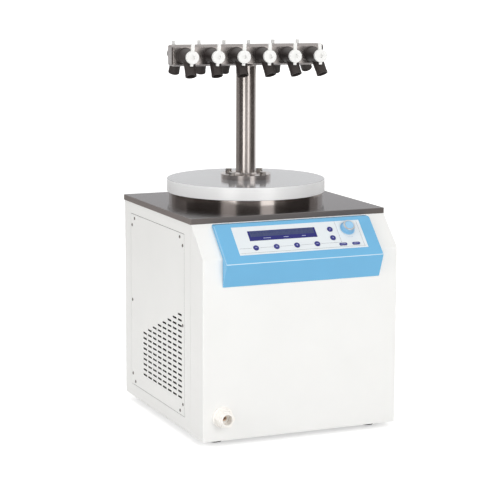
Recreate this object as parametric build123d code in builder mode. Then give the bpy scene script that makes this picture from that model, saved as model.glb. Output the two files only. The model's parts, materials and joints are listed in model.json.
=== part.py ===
"""Benchtop freeze dryer with a twelve-port T manifold. Millimetres, +Z up.

The machine stands on its feet at Z = 0 and faces -Y. The origin is on the floor under the
middle of its box. Each section below makes one group of pieces.
"""
import os
from math import atan2, cos, radians, sin

from build123d import *

os.makedirs("parts", exist_ok=True)

# ---------------------------------------------------------------- cabinet sizes
cabinet_width = 450.0
cabinet_depth = 408.0
cabinet_height = 450.0
back_y = 235.0
foot_height = 12.0
sheet = 1.5
bend_radius = 4.0
base_bend_radius = 3.5
flange_width = 18.0
seam_gap = 0.6
fit_gap = 0.2
running_gap = 0.05
seat_gap = 0.3

base_z = foot_height
top_z = base_z + cabinet_height
seam_y = back_y - cabinet_depth
side_x = cabinet_width / 2

# removable panels, measured as margins of the wall around them
panel_front_margin = 35.5
panel_back_margin = 43.0
panel_top_margin = 26.0
panel_bottom_margin = 30.0
panel_gap = 1.0
ledge_width = 16.0
ledge_overlap = 8.0
rear_panel_side_margin = 58.0

# screws of the panels
screw_hole_radius = 1.7
screw_shank_radius = 1.5
screw_head_radius = 3.0
screw_head_height = 1.5
screw_length = 7.0
screw_edge_inset = 8.5
screw_corner_inset = 25.0

# ventilation slots of the side panels, a block with a stepped top
vent_columns = 8
vent_rear_rows = 9
vent_length = 21.0
vent_height = 3.5
vent_pitch_y = 30.6
vent_pitch_z = 12.0
vent_front_inset = 26.0
vent_bottom_inset = 38.0

# front cover: a folded sheet with a 45 degree nose
cover_depth = 70.0
cover_slope_run = 65.0
cover_bend_radius = 3.0

# worktop: a folded stainless tray
worktop_thickness = 12.0
worktop_side_overhang = 1.5
worktop_front_overhang = 4.5
worktop_back_overhang = 1.0
worktop_corner_radius = 3.0
worktop_edge_radius = 1.0
worktop_hem = 16.0

# feet
foot_radius = 18.0
foot_taper = 2.0
foot_side_inset = 45.0
foot_end_inset = 48.0
foot_screw_radius = 2.5
foot_recess_radius = 6.0
foot_recess_depth = 5.0

# chamber
chamber_y = 58.0
chamber_radius = 150.0
chamber_wall = 2.0
chamber_floor_z = 292.0
chamber_corner_radius = 14.0
ring_radius = 172.0
ring_height = 20.0
seal_radius = 161.0
seal_width = 6.0
seal_depth = 4.5
foam_thickness = 9.0
foam_floor = 14.0
foam_top_margin = 4.0

# cooling coil round the chamber
coil_tube_radius = 4.5
coil_turns = 4
coil_top_drop = 24.0
coil_first_height = 24.0
coil_open_angle = 20.0
header_radius = 5.0

# lid and flange of the column
lid_radius = 176.5
lid_thickness = 28.5
lid_edge_radius = 1.5
lid_spigot_depth = 5.0
lid_spigot_gap = 1.0
column_radius = 22.25
column_wall = 2.0
flange_radius = 56.0
flange_thickness = 10.0
flange_weld = 3.0
bolt_circle_radius = 49.0
bolt_first_angle = 28.0
bolt_radius = 4.0
bolt_hole_radius = 4.5
bolt_head_flats = 13.0
bolt_head_height = 5.3
bolt_washer_radius = 8.0
bolt_washer_height = 1.6
bolt_depth = 16.0

# manifold: a closed square tube on the column, turned a little on its flange
manifold_turn = -6.8
manifold_bottom_z = 773.5
manifold_length = 348.0
manifold_depth = 42.0
manifold_height = 46.0
manifold_wall = 2.0
manifold_corner_radius = 5.0
port_count = 6
port_pitch = 58.0
nipple_radius = 9.5
nipple_bore_radius = 7.5
nipple_length = 18.0

# rubber stopcock valve, its own frame: z out along the port, x towards the outlet
collar_radius = 18.2
collar_length = 7.0
collar_bevel = 1.0
barrel_root_radius = 16.8
barrel_tip_radius = 15.2
barrel_length = 57.3
plug_radius = 9.0
plug_start = 24.0
passage_radius = 5.0
outlet_root = 30.0
outlet_tilt = 25.0
outlet_reach = 46.0
outlet_root_radius = 13.0
outlet_mouth_radius = 12.0
outlet_bead = 0.5
outlet_bead_length = 5.0
outlet_bore_radius = 9.6
outlet_bore_depth = 24.0
front_leans = [0.5, 1.5, 1.5, 8.5, 10.0, 13.0]
rear_leans = [-3.0, 0.5, -4.0, 0.0, 2.0, 29.0]

# stopcock handle
knob_radius = 14.2
knob_thickness = 9.0
knob_edge_radius = 1.5
knob_dimple_radius = 4.5
knob_dimple_depth = 4.0
lever_reach = 28.5
lever_width = 7.4
lever_thickness = 4.5
nub_reach = 19.0
nub_width = 6.2
handle_gap = 0.7
front_lever_leans = [4.0, 5.0, 3.0, 1.5, 1.0, -3.0]
rear_lever_leans = [1.0, 2.0, 2.0, 1.0, 0.0, 1.0]

# control console, a moulded hood on the nose of the cover
console_width = 362.0
console_top_gap = 1.0
console_top_depth = 14.0
console_run = 72.0
console_drop = 73.0
console_foot_drop = 50.0
console_wall = 2.5
console_knee_radius = 3.0
console_corner_radius = 5.0
console_edge_radius = 1.2

# membrane overlay and what comes through it, measured down the sloped face
overlay_left = 145.0
overlay_right = 151.5
overlay_top = 9.5
overlay_height = 71.5
overlay_thickness = 0.6
display_left = 112.3
display_right = 43.0
display_top = 21.5
display_height = 25.0
display_bezel = 5.0
key_radius = 6.2
key_row_down = 64.6
key_row_start = -104.4
key_row_pitch = 46.9
key_row_count = 4
side_key_x = 77.2
side_key_downs = [29.7, 52.0]
oblong_key_xs = [95.6, 125.8]
oblong_key_down = 70.0
oblong_key_length = 18.0
oblong_key_width = 6.2
key_stand = 1.2
key_gap = 0.3
key_flange = 1.4
key_flange_thickness = 1.0
key_travel = 0.6
dial_x = 118.3
dial_down = 30.5

# dial: a skirted knob with a bright ring and a coloured cap, on a shaft that also pushes
skirt_radius = 16.5
skirt_height = 2.5
dial_barrel_radius = 13.4
dial_barrel_draft = 0.6
skirt_bevel = 1.0
dial_height = 13.0
dial_ring_radius = 13.0
dial_ring_width = 3.4
dial_ring_height = 2.0
dial_cap_height = 2.6
dial_shaft_radius = 3.0
dial_travel = 0.5
encoder_size = 12.0
encoder_height = 6.0
bushing_radius = 4.5

# circuit board behind the sloped face
board_depth = 14.0
board_thickness = 1.6
board_width = 300.0
board_height = 74.0
post_radius = 3.0
post_spacing_x = 286.0
post_spacing_y = 60.0
switch_size = 6.0

# drain fitting in the lower left of the cover
drain_inset = 43.5
drain_height = 51.0
drain_washer_radius = 22.5
drain_washer_height = 5.0
drain_washer_edge = 2.0
drain_hex_flats = 33.0
drain_hex_end = 25.0
drain_collar_radius = 15.0
drain_collar_edge = 1.0
drain_stand = 29.0
drain_bore_radius = 11.0
drain_bore_depth = 20.0
drain_thread_radius = 14.0
drain_nut_height = 8.0
drain_pipe_radius = 6.5
drain_pipe_bore = 4.5
drain_pipe_drop = 24.0
drain_pipe_fall = 26.0
drain_pipe_turn = 75.0
drain_pipe_run = 60.0
drain_bends = [18.0, 40.0, 22.0]

# vacuum line and its port in the back
port_x = 70.0
port_height = 232.0
pump_pipe_radius = 14.0
pump_pipe_bore = 12.0
pump_port_bore = 12.5
pump_port_flange_radius = 20.0
pump_port_stand = 37.0
pump_plate_radius = 30.0
pump_plate_thickness = 4.0
pump_flange_height = 3.0
pump_flange_bevel = 1.2

# power module in the back
power_x = -95.0
power_height = 110.0
power_width = 30.0
power_length = 62.0
power_lip = 2.5
power_margin = 5.0
power_depth = 24.0
socket_width = 17.5
socket_length = 24.5
socket_depth = 17.0
pin_width = 4.0
pin_thickness = 2.0
pin_recess = 3.0
earth_pin_x = -2.5
line_pin_x = 3.5
line_pin_spread = 7.0
rocker_width = 13.0
rocker_length = 19.5
rocker_pivot_depth = 5.0
rocker_rise = 1.4
rocker_taper = 0.8
rocker_swing = 14.0

# refrigeration unit
compressor_x = 105.0
compressor_y = 90.0
compressor_radius = 60.0
compressor_height = 172.0
compressor_foot_height = 12.0
compressor_plate = 3.0
compressor_plate_corner = 12.0
grommet_radius = 9.0
grommet_inset = 12.0
can_seam_width = 4.0
can_seam_rise = 2.0
stub_rise = 6.0
stub_wall = 1.0
stub_spread = 30.0
stub_offset = 20.0
can_lower_radius = 18.0
can_upper_radius = 40.0
condenser_inset = 47.0
condenser_y = -30.0
condenser_width = 170.0
condenser_height = 176.0
condenser_depth = 34.0
condenser_fins = 14
fin_thickness = 1.2
condenser_tube_radius = 4.0
condenser_tubes = 4
condenser_stand = 25.0
tube_overhang = 6.0
fan_radius = 68.0
fan_hub_radius = 22.0
fan_blades = 5
blade_root_chord = 26.0
blade_root_pitch = 42.0
blade_tip_chord = 34.0
blade_tip_pitch = 68.0
blade_thickness = 1.6
blade_root_depth = 4.0
fan_tip_gap = 2.0
fan_hub_gap = 1.0
fan_depth = 22.0
shroud_depth = 26.0
shroud_plate = 1.5
motor_radius = 24.0
motor_length = 30.0
motor_shaft_radius = 3.0
motor_boss_radius = 16.0
motor_boss_length = 4.0
motor_collar = 6.0
motor_arm_width = 10.0
shaft_setback = 3.0
tube_radius = 4.0
discharge_rise = 22.0
discharge_back = 26.0
discharge_bends = [14.0, 10.0, 12.0]
suction_drop = 26.0
suction_back = 30.0
suction_bends = [12.0, 20.0, 18.0]
liquid_back = 34.0
liquid_turn_x = -45.0
liquid_drop = 70.0
liquid_rise = 30.0
liquid_bends = [16.0, 16.0, 40.0, 16.0]
drier_x = -130.0
drier_radius = 9.0
drier_length = 62.0
drier_end_radius = 4.0

# ---------------------------------------------------------------- derived places
cover_y = seam_y - cover_depth
knee_z = top_z - cover_slope_run
slope_top_y = cover_y + cover_slope_run
worktop_z = top_z + worktop_thickness
worktop_front_y = seam_y - worktop_front_overhang
worktop_back_y = back_y + worktop_back_overhang
ring_top_z = worktop_z + ring_height
lid_top_z = ring_top_z + lid_thickness
flange_top_z = lid_top_z + flange_thickness
manifold_z = manifold_bottom_z + manifold_height / 2
panel_y0 = seam_y + panel_front_margin
panel_y1 = back_y - panel_back_margin
panel_z0 = base_z + panel_bottom_margin
panel_z1 = top_z - panel_top_margin
panel_width = panel_y1 - panel_y0
panel_height = panel_z1 - panel_z0
panel_mid_y = (panel_y0 + panel_y1) / 2
panel_mid_z = (panel_z0 + panel_z1) / 2
rear_panel_width = cabinet_width - 2 * rear_panel_side_margin
tray_z = base_z + sheet
floor_z = tray_z + sheet
chamber_axis = (0.0, chamber_y)


def panel_screw_points(width, height):
    """Two screws near each corner and one half way up each side edge."""
    side = width / 2 - screw_edge_inset
    end = height / 2 - screw_edge_inset
    points = [(x, 0.0) for x in (-side, side)]
    for x_sign in (-1, 1):
        for z_sign in (-1, 1):
            points.append((x_sign * side, z_sign * (height / 2 - screw_corner_inset)))
            points.append((x_sign * (width / 2 - screw_corner_inset), z_sign * end))
    return points


# planes on the panels' outer faces: x runs along the panel, z points out of the cabinet
left_plane = Plane(origin=(-side_x, panel_mid_y, panel_mid_z), x_dir=(0, -1, 0), z_dir=(-1, 0, 0))
right_plane = Plane(origin=(side_x, panel_mid_y, panel_mid_z), x_dir=(0, 1, 0), z_dir=(1, 0, 0))
rear_plane = Plane(origin=(0, back_y, panel_mid_z), x_dir=(-1, 0, 0), z_dir=(0, 1, 0))
side_screws = panel_screw_points(panel_width, panel_height)
rear_screws = panel_screw_points(rear_panel_width, panel_height)
wall_openings = [
    (left_plane, panel_width, side_screws),
    (right_plane, panel_width, side_screws),
    (rear_plane, rear_panel_width, rear_screws),
]

# ---------------------------------------------------------------- cabinet shell
with BuildPart() as cabinet_frame:
    with BuildSketch(Plane.XY.offset(base_z)):
        with Locations((0, (seam_y + back_y) / 2)):
            Rectangle(cabinet_width, cabinet_depth)
    extrude(amount=cabinet_height)
    rear_uprights = cabinet_frame.edges().filter_by(Axis.Z).group_by(Axis.Y)[-1]
    fillet(rear_uprights, radius=bend_radius)
    frame_bottom = cabinet_frame.faces().sort_by(Axis.Z)[0]
    lower_rear = frame_bottom.edges().filter_by(Axis.X).sort_by(Axis.Y)[-1]
    fillet(lower_rear, radius=base_bend_radius)
    # the space between the walls, open to the front
    with BuildSketch(Plane.XY.offset(base_z + sheet)):
        with Locations((0, (seam_y + back_y) / 2 - sheet)):
            Rectangle(cabinet_width - 2 * sheet, cabinet_depth)
    extrude(amount=cabinet_height - 2 * sheet, mode=Mode.SUBTRACT)
    # inside the flanges that are folded in at the top and at the bottom
    with BuildSketch(Plane.XY.offset(base_z)):
        with Locations((0, (seam_y + back_y) / 2 - flange_width)):
            Rectangle(cabinet_width - 2 * flange_width, cabinet_depth)
    extrude(amount=cabinet_height, mode=Mode.SUBTRACT)
    for wall_plane, opening_width, screw_points in wall_openings:
        # the ledge that carries the panel, set back by one sheet
        with BuildSketch(wall_plane.offset(-2 * sheet)):
            Rectangle(opening_width + 2 * ledge_overlap, panel_height + 2 * ledge_overlap)
        extrude(amount=sheet)
        with BuildSketch(wall_plane.offset(-2 * sheet)):
            Rectangle(opening_width - 2 * ledge_width, panel_height - 2 * ledge_width)
        extrude(amount=sheet, mode=Mode.SUBTRACT)
        with BuildSketch(wall_plane.offset(-2 * sheet)):
            with Locations(*screw_points):
                Circle(screw_hole_radius)
        extrude(amount=sheet, mode=Mode.SUBTRACT)
        # the opening in the wall itself
        with BuildSketch(wall_plane.offset(-sheet)):
            Rectangle(opening_width + 2 * panel_gap, panel_height + 2 * panel_gap)
        extrude(amount=sheet, mode=Mode.SUBTRACT)
cabinet_frame.part.label = "cabinet_frame"
export_step(cabinet_frame.part, "parts/cabinet_frame.step")

with BuildPart() as base_tray:
    tray_front_y = cover_y + sheet + fit_gap
    tray_back_y = back_y - sheet - fit_gap
    tray_mid_y = (tray_front_y + tray_back_y) / 2
    tray_length = tray_back_y - tray_front_y
    tray_width = cabinet_width - 2 * sheet - 2 * fit_gap
    with BuildSketch(Plane.XY.offset(tray_z)):
        with Locations((0, tray_mid_y)):
            RectangleRounded(tray_width, tray_length, bend_radius)
    extrude(amount=panel_bottom_margin - 2 * ledge_overlap)
    with BuildSketch(Plane.XY.offset(floor_z)):
        with Locations((0, tray_mid_y)):
            RectangleRounded(tray_width - 2 * sheet, tray_length - 2 * sheet, bend_radius - sheet)
    extrude(amount=panel_bottom_margin, mode=Mode.SUBTRACT)
    foot_front_y = cover_y + foot_end_inset
    foot_back_y = back_y - foot_side_inset
    foot_x = side_x - foot_side_inset
    foot_points = [(x, y) for x in (-foot_x, foot_x) for y in (foot_front_y, foot_back_y)]
    with BuildSketch(Plane.XY.offset(tray_z)):
        with Locations(*foot_points):
            Circle(foot_screw_radius)
    extrude(amount=sheet, mode=Mode.SUBTRACT)
base_tray.part.label = "base_tray"
export_step(base_tray.part, "parts/base_tray.step")

with BuildPart() as rubber_foot:
    with BuildSketch(Plane.XZ):
        with BuildLine():
            Polyline(
                (foot_recess_radius, 0),
                (foot_radius - foot_taper, 0),
                (foot_radius, tray_z),
                (foot_screw_radius, tray_z),
                (foot_screw_radius, foot_recess_depth),
                (foot_recess_radius, foot_recess_depth),
                close=True,
            )
        make_face()
    revolve(axis=Axis.Z)

with BuildPart() as rubber_feet:
    for foot_point in foot_points:
        foot_plane = Plane(origin=(foot_point[0], foot_point[1], 0))
        add(rubber_foot.part.moved(foot_plane.location))
rubber_feet.part.label = "rubber_feet"
export_step(rubber_feet.part, "parts/rubber_feet.step")

# ---------------------------------------------------------------- removable panels
vent_block_x = panel_width / 2 - vent_front_inset
vent_block_y = -panel_height / 2 + vent_bottom_inset
vent_points = []
for column in range(vent_columns):
    # column 0 is at the front and is the tallest
    column_rows = vent_rear_rows + vent_columns - 1 - column
    for row in range(column_rows):
        vent_points.append((vent_block_x - column * vent_pitch_y, vent_block_y + row * vent_pitch_z))

with BuildPart() as left_panel:
    with BuildSketch(left_plane.offset(-sheet)):
        Rectangle(panel_width, panel_height)
        with Locations(*vent_points):
            Rectangle(vent_length, vent_height, mode=Mode.SUBTRACT)
        with Locations(*side_screws):
            Circle(screw_hole_radius, mode=Mode.SUBTRACT)
    extrude(amount=sheet)
left_panel.part.label = "left_panel"
export_step(left_panel.part, "parts/left_panel.step")

with BuildPart() as right_panel:
    mirror(left_panel.part, about=Plane.YZ)
right_panel.part.label = "right_panel"
export_step(right_panel.part, "parts/right_panel.step")

power_plane = Plane(origin=(power_x, back_y, power_height), x_dir=(-1, 0, 0), z_dir=(0, 1, 0))
port_plane = Plane(origin=(port_x, back_y, port_height), x_dir=(-1, 0, 0), z_dir=(0, 1, 0))

with BuildPart() as rear_panel:
    with BuildSketch(rear_plane.offset(-sheet)):
        Rectangle(rear_panel_width, panel_height)
        with Locations(*rear_screws):
            Circle(screw_hole_radius, mode=Mode.SUBTRACT)
    extrude(amount=sheet)
    with BuildSketch(power_plane.offset(-sheet)):
        Rectangle(power_width + 2 * fit_gap, power_length + 2 * fit_gap)
    extrude(amount=sheet, mode=Mode.SUBTRACT)
    with BuildSketch(port_plane.offset(-sheet)):
        Circle(pump_pipe_radius + seat_gap)
    extrude(amount=sheet, mode=Mode.SUBTRACT)
rear_panel.part.label = "rear_panel"
export_step(rear_panel.part, "parts/rear_panel.step")

with BuildPart() as panel_screws:
    for wall_plane, opening_width, screw_points in wall_openings:
        with BuildSketch(wall_plane):
            with Locations(*screw_points):
                Circle(screw_head_radius)
        extrude(amount=screw_head_height)
        with BuildSketch(wall_plane):
            with Locations(*screw_points):
                Circle(screw_shank_radius)
        extrude(amount=-screw_length)
panel_screws.part.label = "panel_screws"
export_step(panel_screws.part, "parts/panel_screws.step")

# ---------------------------------------------------------------- front cover
console_top_z = top_z - console_top_gap
console_top_y = slope_top_y - console_top_gap - console_top_depth
console_knee_y = console_top_y - console_run
console_knee_z = console_top_z - console_drop
console_foot_z = console_knee_z - console_foot_drop
slope = atan2(console_drop, console_run)
# on the sloped face: origin in the middle of its top edge, x to the right, y up the slope
console_face = Plane(
    origin=(0, console_top_y, console_top_z),
    x_dir=(1, 0, 0),
    z_dir=(0, -sin(slope), cos(slope)),
)
overlay_middle_x = (overlay_right - overlay_left) / 2
overlay_width = overlay_left + overlay_right
overlay_middle_down = overlay_top + overlay_height / 2
board_middle = (overlay_middle_x, -overlay_middle_down)
# the drain's axis, pointing out of the cover
drain_x = drain_inset - side_x
drain_plane = Plane(origin=(drain_x, cover_y, base_z + drain_height), x_dir=(1, 0, 0), z_dir=(0, -1, 0))

with BuildPart() as front_cover:
    with BuildSketch(Plane.YZ.offset(-side_x)):
        with BuildLine():
            Polyline(
                (seam_y - seam_gap, base_z),
                (cover_y, base_z),
                (cover_y, knee_z),
                (slope_top_y, top_z),
                (seam_y - seam_gap, top_z),
                close=True,
            )
        make_face()
    extrude(amount=cabinet_width)
    cover_uprights = front_cover.edges().filter_by(Axis.Z).group_by(Axis.Y)[0]
    cover_knee = front_cover.edges().filter_by(Axis.X).filter_by_position(Axis.Z, knee_z - 1, knee_z + 1)
    fillet(cover_uprights + cover_knee, radius=cover_bend_radius)
    cover_back = front_cover.faces().sort_by(Axis.Y)[-1]
    cover_bottom = front_cover.faces().sort_by(Axis.Z)[0]
    offset(amount=-sheet, openings=[cover_back, cover_bottom])
    # the console's window, and the hole for the drain fitting
    with BuildSketch(console_face.offset(-board_depth - board_thickness)):
        with Locations(board_middle):
            Rectangle(board_width + 2 * seat_gap, board_height + 2 * seat_gap)
    extrude(amount=2 * board_depth, mode=Mode.SUBTRACT)
    with BuildSketch(drain_plane.offset(-sheet)):
        Circle(drain_thread_radius + seat_gap)
    extrude(amount=sheet, mode=Mode.SUBTRACT)
front_cover.part.label = "front_cover"
export_step(front_cover.part, "parts/front_cover.step")

# ---------------------------------------------------------------- worktop
worktop_mid_y = (worktop_front_y + worktop_back_y) / 2
worktop_length = worktop_back_y - worktop_front_y
worktop_width = cabinet_width + 2 * worktop_side_overhang
with BuildPart() as worktop:
    with BuildSketch(Plane.XY.offset(top_z)):
        with Locations((0, worktop_mid_y)):
            RectangleRounded(worktop_width, worktop_length, worktop_corner_radius)
    extrude(amount=worktop_thickness)
    fillet(worktop.faces().sort_by(Axis.Z)[-1].edges(), radius=worktop_edge_radius)
    # hollow between the top sheet and the hem that is folded back under it
    with BuildSketch(Plane.XY.offset(top_z + sheet)):
        with Locations((0, worktop_mid_y)):
            Rectangle(worktop_width - 2 * sheet, worktop_length - 2 * sheet)
    extrude(amount=worktop_thickness - 2 * sheet, mode=Mode.SUBTRACT)
    with BuildSketch(Plane.XY.offset(top_z)):
        with Locations((0, worktop_mid_y)):
            Rectangle(worktop_width - 2 * worktop_hem, worktop_length - 2 * worktop_hem)
    extrude(amount=sheet, mode=Mode.SUBTRACT)
    with BuildSketch(Plane.XY.offset(top_z)):
        with Locations(chamber_axis):
            Circle(chamber_radius + chamber_wall + fit_gap)
    extrude(amount=worktop_thickness, mode=Mode.SUBTRACT)
worktop.part.label = "worktop"
export_step(worktop.part, "parts/worktop.step")

# ---------------------------------------------------------------- chamber
chamber_plane = Plane(origin=(0, chamber_y, 0))
chamber_section = Plane(origin=(0, chamber_y, 0), x_dir=(1, 0, 0), z_dir=(0, -1, 0))
chamber_center = Axis((0, chamber_y, 0), (0, 0, 1))
pipe_drop_x = port_x
pipe_drop_y = chamber_y + chamber_radius / 2
pot_outer_radius = chamber_radius + chamber_wall

with BuildPart() as chamber_pot:
    with BuildSketch(chamber_section):
        with BuildLine():
            Polyline(
                (0, chamber_floor_z),
                (pot_outer_radius, chamber_floor_z),
                (pot_outer_radius, worktop_z),
                (ring_radius, worktop_z),
                (ring_radius, ring_top_z),
                (chamber_radius, ring_top_z),
                (chamber_radius, chamber_floor_z + chamber_wall),
                (0, chamber_floor_z + chamber_wall),
                close=True,
            )
        make_face()
    revolve(axis=chamber_center)
    pot_bottom = chamber_pot.edges().filter_by(GeomType.CIRCLE).group_by(Axis.Z)
    fillet(pot_bottom[0], radius=chamber_corner_radius)
    inner_rims = chamber_pot.edges().filter_by(GeomType.CIRCLE).filter_by_position(
        Axis.Z, chamber_floor_z + chamber_wall - 0.1, chamber_floor_z + chamber_wall + 0.1
    )
    fillet(inner_rims.sort_by(SortBy.RADIUS)[-1], radius=chamber_corner_radius - chamber_wall)
    # groove for the seal, the drain in the middle of the floor and the vacuum outlet beside it
    with BuildSketch(chamber_plane.offset(ring_top_z - seal_depth)):
        Circle(seal_radius + seal_width / 2)
        Circle(seal_radius - seal_width / 2, mode=Mode.SUBTRACT)
    extrude(amount=seal_depth, mode=Mode.SUBTRACT)
    with BuildSketch(chamber_plane.offset(chamber_floor_z)):
        Circle(drain_pipe_bore)
    extrude(amount=chamber_wall, mode=Mode.SUBTRACT)
    with BuildSketch(Plane(origin=(pipe_drop_x, pipe_drop_y, chamber_floor_z))):
        Circle(pump_pipe_bore)
    extrude(amount=chamber_wall, mode=Mode.SUBTRACT)
chamber_pot.part.label = "chamber_pot"
export_step(chamber_pot.part, "parts/chamber_pot.step")

with BuildPart() as lid_gasket:
    with BuildSketch(chamber_plane.offset(ring_top_z - seal_depth)):
        Circle(seal_radius + seal_width / 2 - fit_gap)
        Circle(seal_radius - seal_width / 2 + fit_gap, mode=Mode.SUBTRACT)
    extrude(amount=seal_depth)
lid_gasket.part.label = "lid_gasket"
export_step(lid_gasket.part, "parts/lid_gasket.step")

coil_radius = pot_outer_radius + header_radius + fit_gap
coil_start_z = chamber_floor_z + chamber_corner_radius + coil_first_height
coil_end_z = top_z - coil_top_drop
coil_pitch = (coil_end_z - coil_start_z) / (coil_turns - 1)
foam_inner_radius = coil_radius + header_radius + 2 * seat_gap
foam_outer_radius = foam_inner_radius + foam_thickness
foam_top_z = top_z - foam_top_margin
foam_bottom_z = chamber_floor_z - foam_floor


def around_chamber(angle, height):
    """A point on the coil's circle, by its angle from +X."""
    return (
        coil_radius * cos(radians(angle)),
        chamber_y + coil_radius * sin(radians(angle)),
        height,
    )


coil_angles = (-90 + coil_open_angle / 2, -90 - coil_open_angle / 2)
coil_start = radians(coil_angles[0])
coil_section = Plane(
    origin=(0, chamber_y, 0),
    x_dir=(cos(coil_start), sin(coil_start), 0),
    z_dir=(sin(coil_start), -cos(coil_start), 0),
)

with BuildPart() as evaporator_coil:
    # parallel loops of tube between an inlet and an outlet header at the front
    with BuildSketch(coil_section):
        for turn in range(coil_turns):
            with Locations((coil_radius, coil_start_z + turn * coil_pitch)):
                Circle(coil_tube_radius)
    revolve(axis=chamber_center, revolution_arc=360 - coil_open_angle)
    for angle in coil_angles:
        with BuildSketch(Plane(origin=around_chamber(angle, foam_bottom_z))):
            Circle(header_radius)
        extrude(amount=coil_end_z + header_radius - foam_bottom_z)
evaporator_coil.part.label = "evaporator_coil"
export_step(evaporator_coil.part, "parts/evaporator_coil.step")

with BuildPart() as insulation_jacket:
    with BuildSketch(chamber_section):
        with BuildLine():
            Polyline(
                (0, foam_bottom_z),
                (foam_outer_radius, foam_bottom_z),
                (foam_outer_radius, foam_top_z),
                (foam_inner_radius, foam_top_z),
                (foam_inner_radius, chamber_floor_z),
                (0, chamber_floor_z),
                close=True,
            )
        make_face()
    revolve(axis=chamber_center)
    with BuildSketch(Plane.XY.offset(foam_bottom_z)):
        with Locations(chamber_axis):
            Circle(drain_pipe_radius + seat_gap)
        with Locations((pipe_drop_x, pipe_drop_y)):
            Circle(pump_pipe_radius + seat_gap)
        with Locations(*[around_chamber(angle, 0)[:2] for angle in coil_angles]):
            Circle(header_radius + seat_gap)
    extrude(amount=foam_floor, mode=Mode.SUBTRACT)
insulation_jacket.part.label = "insulation_jacket"
export_step(insulation_jacket.part, "parts/insulation_jacket.step")

# ---------------------------------------------------------------- lid, column and its bolts
bolt_plane = Plane(origin=(0, chamber_y, flange_top_z))
column_bore_radius = column_radius - column_wall
bolt_angles = [bolt_first_angle + 90 * quarter for quarter in range(4)]
bolt_points = [
    (bolt_circle_radius * cos(radians(angle)), bolt_circle_radius * sin(radians(angle)))
    for angle in bolt_angles
]

with BuildPart() as lid_plate:
    with BuildSketch(chamber_plane.offset(ring_top_z)):
        Circle(lid_radius)
    extrude(amount=lid_thickness)
    fillet(lid_plate.edges().filter_by(GeomType.CIRCLE), radius=lid_edge_radius)
    # spigot that centres the lid in the mouth of the chamber
    with BuildSketch(chamber_plane.offset(ring_top_z)):
        Circle(chamber_radius - lid_spigot_gap)
    extrude(amount=-lid_spigot_depth)
    with BuildSketch(chamber_plane.offset(lid_top_z)):
        Circle(column_bore_radius)
    extrude(amount=-lid_thickness - lid_spigot_depth, mode=Mode.SUBTRACT)
    with BuildSketch(chamber_plane.offset(lid_top_z)):
        with Locations(*bolt_points):
            Circle(bolt_radius + running_gap)
    extrude(amount=-bolt_depth, mode=Mode.SUBTRACT)
lid_plate.part.label = "lid_plate"
export_step(lid_plate.part, "parts/lid_plate.step")

with BuildPart() as manifold_column:
    with BuildSketch(chamber_section):
        with BuildLine():
            Polyline(
                (column_bore_radius, lid_top_z),
                (flange_radius, lid_top_z),
                (flange_radius, flange_top_z),
                (column_radius + flange_weld, flange_top_z),
                (column_radius, flange_top_z + flange_weld),
                (column_radius, manifold_bottom_z),
                (column_bore_radius, manifold_bottom_z),
                close=True,
            )
        make_face()
    revolve(axis=chamber_center)
    with BuildSketch(bolt_plane):
        with Locations(*bolt_points):
            Circle(bolt_hole_radius)
    extrude(amount=-flange_thickness, mode=Mode.SUBTRACT)
manifold_column.part.label = "manifold_column"
export_step(manifold_column.part, "parts/manifold_column.step")

with BuildPart() as flange_bolts:
    with BuildSketch(bolt_plane):
        with Locations(*bolt_points):
            Circle(bolt_washer_radius)
    extrude(amount=bolt_washer_height)
    with BuildSketch(bolt_plane.offset(bolt_washer_height)):
        with Locations(*bolt_points):
            RegularPolygon(radius=bolt_head_flats / 2, side_count=6, major_radius=False)
    extrude(amount=bolt_head_height)
    with BuildSketch(bolt_plane):
        with Locations(*bolt_points):
            Circle(bolt_radius)
    extrude(amount=-flange_thickness - bolt_depth + seat_gap)
flange_bolts.part.label = "flange_bolts"
export_step(flange_bolts.part, "parts/flange_bolts.step")

# ---------------------------------------------------------------- T manifold
turn = radians(manifold_turn)
along = Vector(cos(turn), sin(turn), 0)
behind = Vector(-sin(turn), cos(turn), 0)
manifold_center = Vector(0, chamber_y, manifold_z)
manifold_plane = Plane(origin=manifold_center, x_dir=along, z_dir=(0, 0, 1))


def valve_plane(port, lean, side):
    """Frame of a valve at a port: z out of the manifold, x towards the outlet.

    side is -1 at the front and 1 at the back; lean swings the outlet towards the right.
    """
    offset_along = (port - (port_count - 1) / 2) * port_pitch
    outward = behind * side
    origin = manifold_center + along * offset_along + outward * (manifold_depth / 2)
    down = Vector(0, 0, -cos(radians(lean))) + along * sin(radians(lean))
    return Plane(origin=origin, x_dir=down, z_dir=outward)


front_valve_planes = [valve_plane(port, lean, -1) for port, lean in enumerate(front_leans)]
rear_valve_planes = [valve_plane(port, lean, 1) for port, lean in enumerate(rear_leans)]

with BuildPart() as manifold_box:
    with BuildSketch(manifold_plane.offset(-manifold_height / 2)):
        Rectangle(manifold_length, manifold_depth)
    extrude(amount=manifold_height)
    fillet(manifold_box.edges(), radius=manifold_corner_radius)
    with BuildSketch(manifold_plane.offset(manifold_wall - manifold_height / 2)):
        Rectangle(manifold_length - 2 * manifold_wall, manifold_depth - 2 * manifold_wall)
    cavity_height = manifold_height - 2 * manifold_wall
    extrude(amount=cavity_height, mode=Mode.SUBTRACT)
    for port_frame in front_valve_planes + rear_valve_planes:
        with BuildSketch(port_frame.offset(-manifold_wall / 2)):
            Circle(nipple_radius)
        extrude(amount=nipple_length + manifold_wall / 2)
        with BuildSketch(port_frame.offset(-manifold_wall)):
            Circle(nipple_bore_radius)
        extrude(amount=nipple_length + manifold_wall, mode=Mode.SUBTRACT)
    with BuildSketch(manifold_plane.offset(-manifold_height / 2)):
        Circle(column_bore_radius)
    extrude(amount=manifold_wall, mode=Mode.SUBTRACT)
manifold_box.part.label = "manifold_box"
export_step(manifold_box.part, "parts/manifold_box.step")

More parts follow.
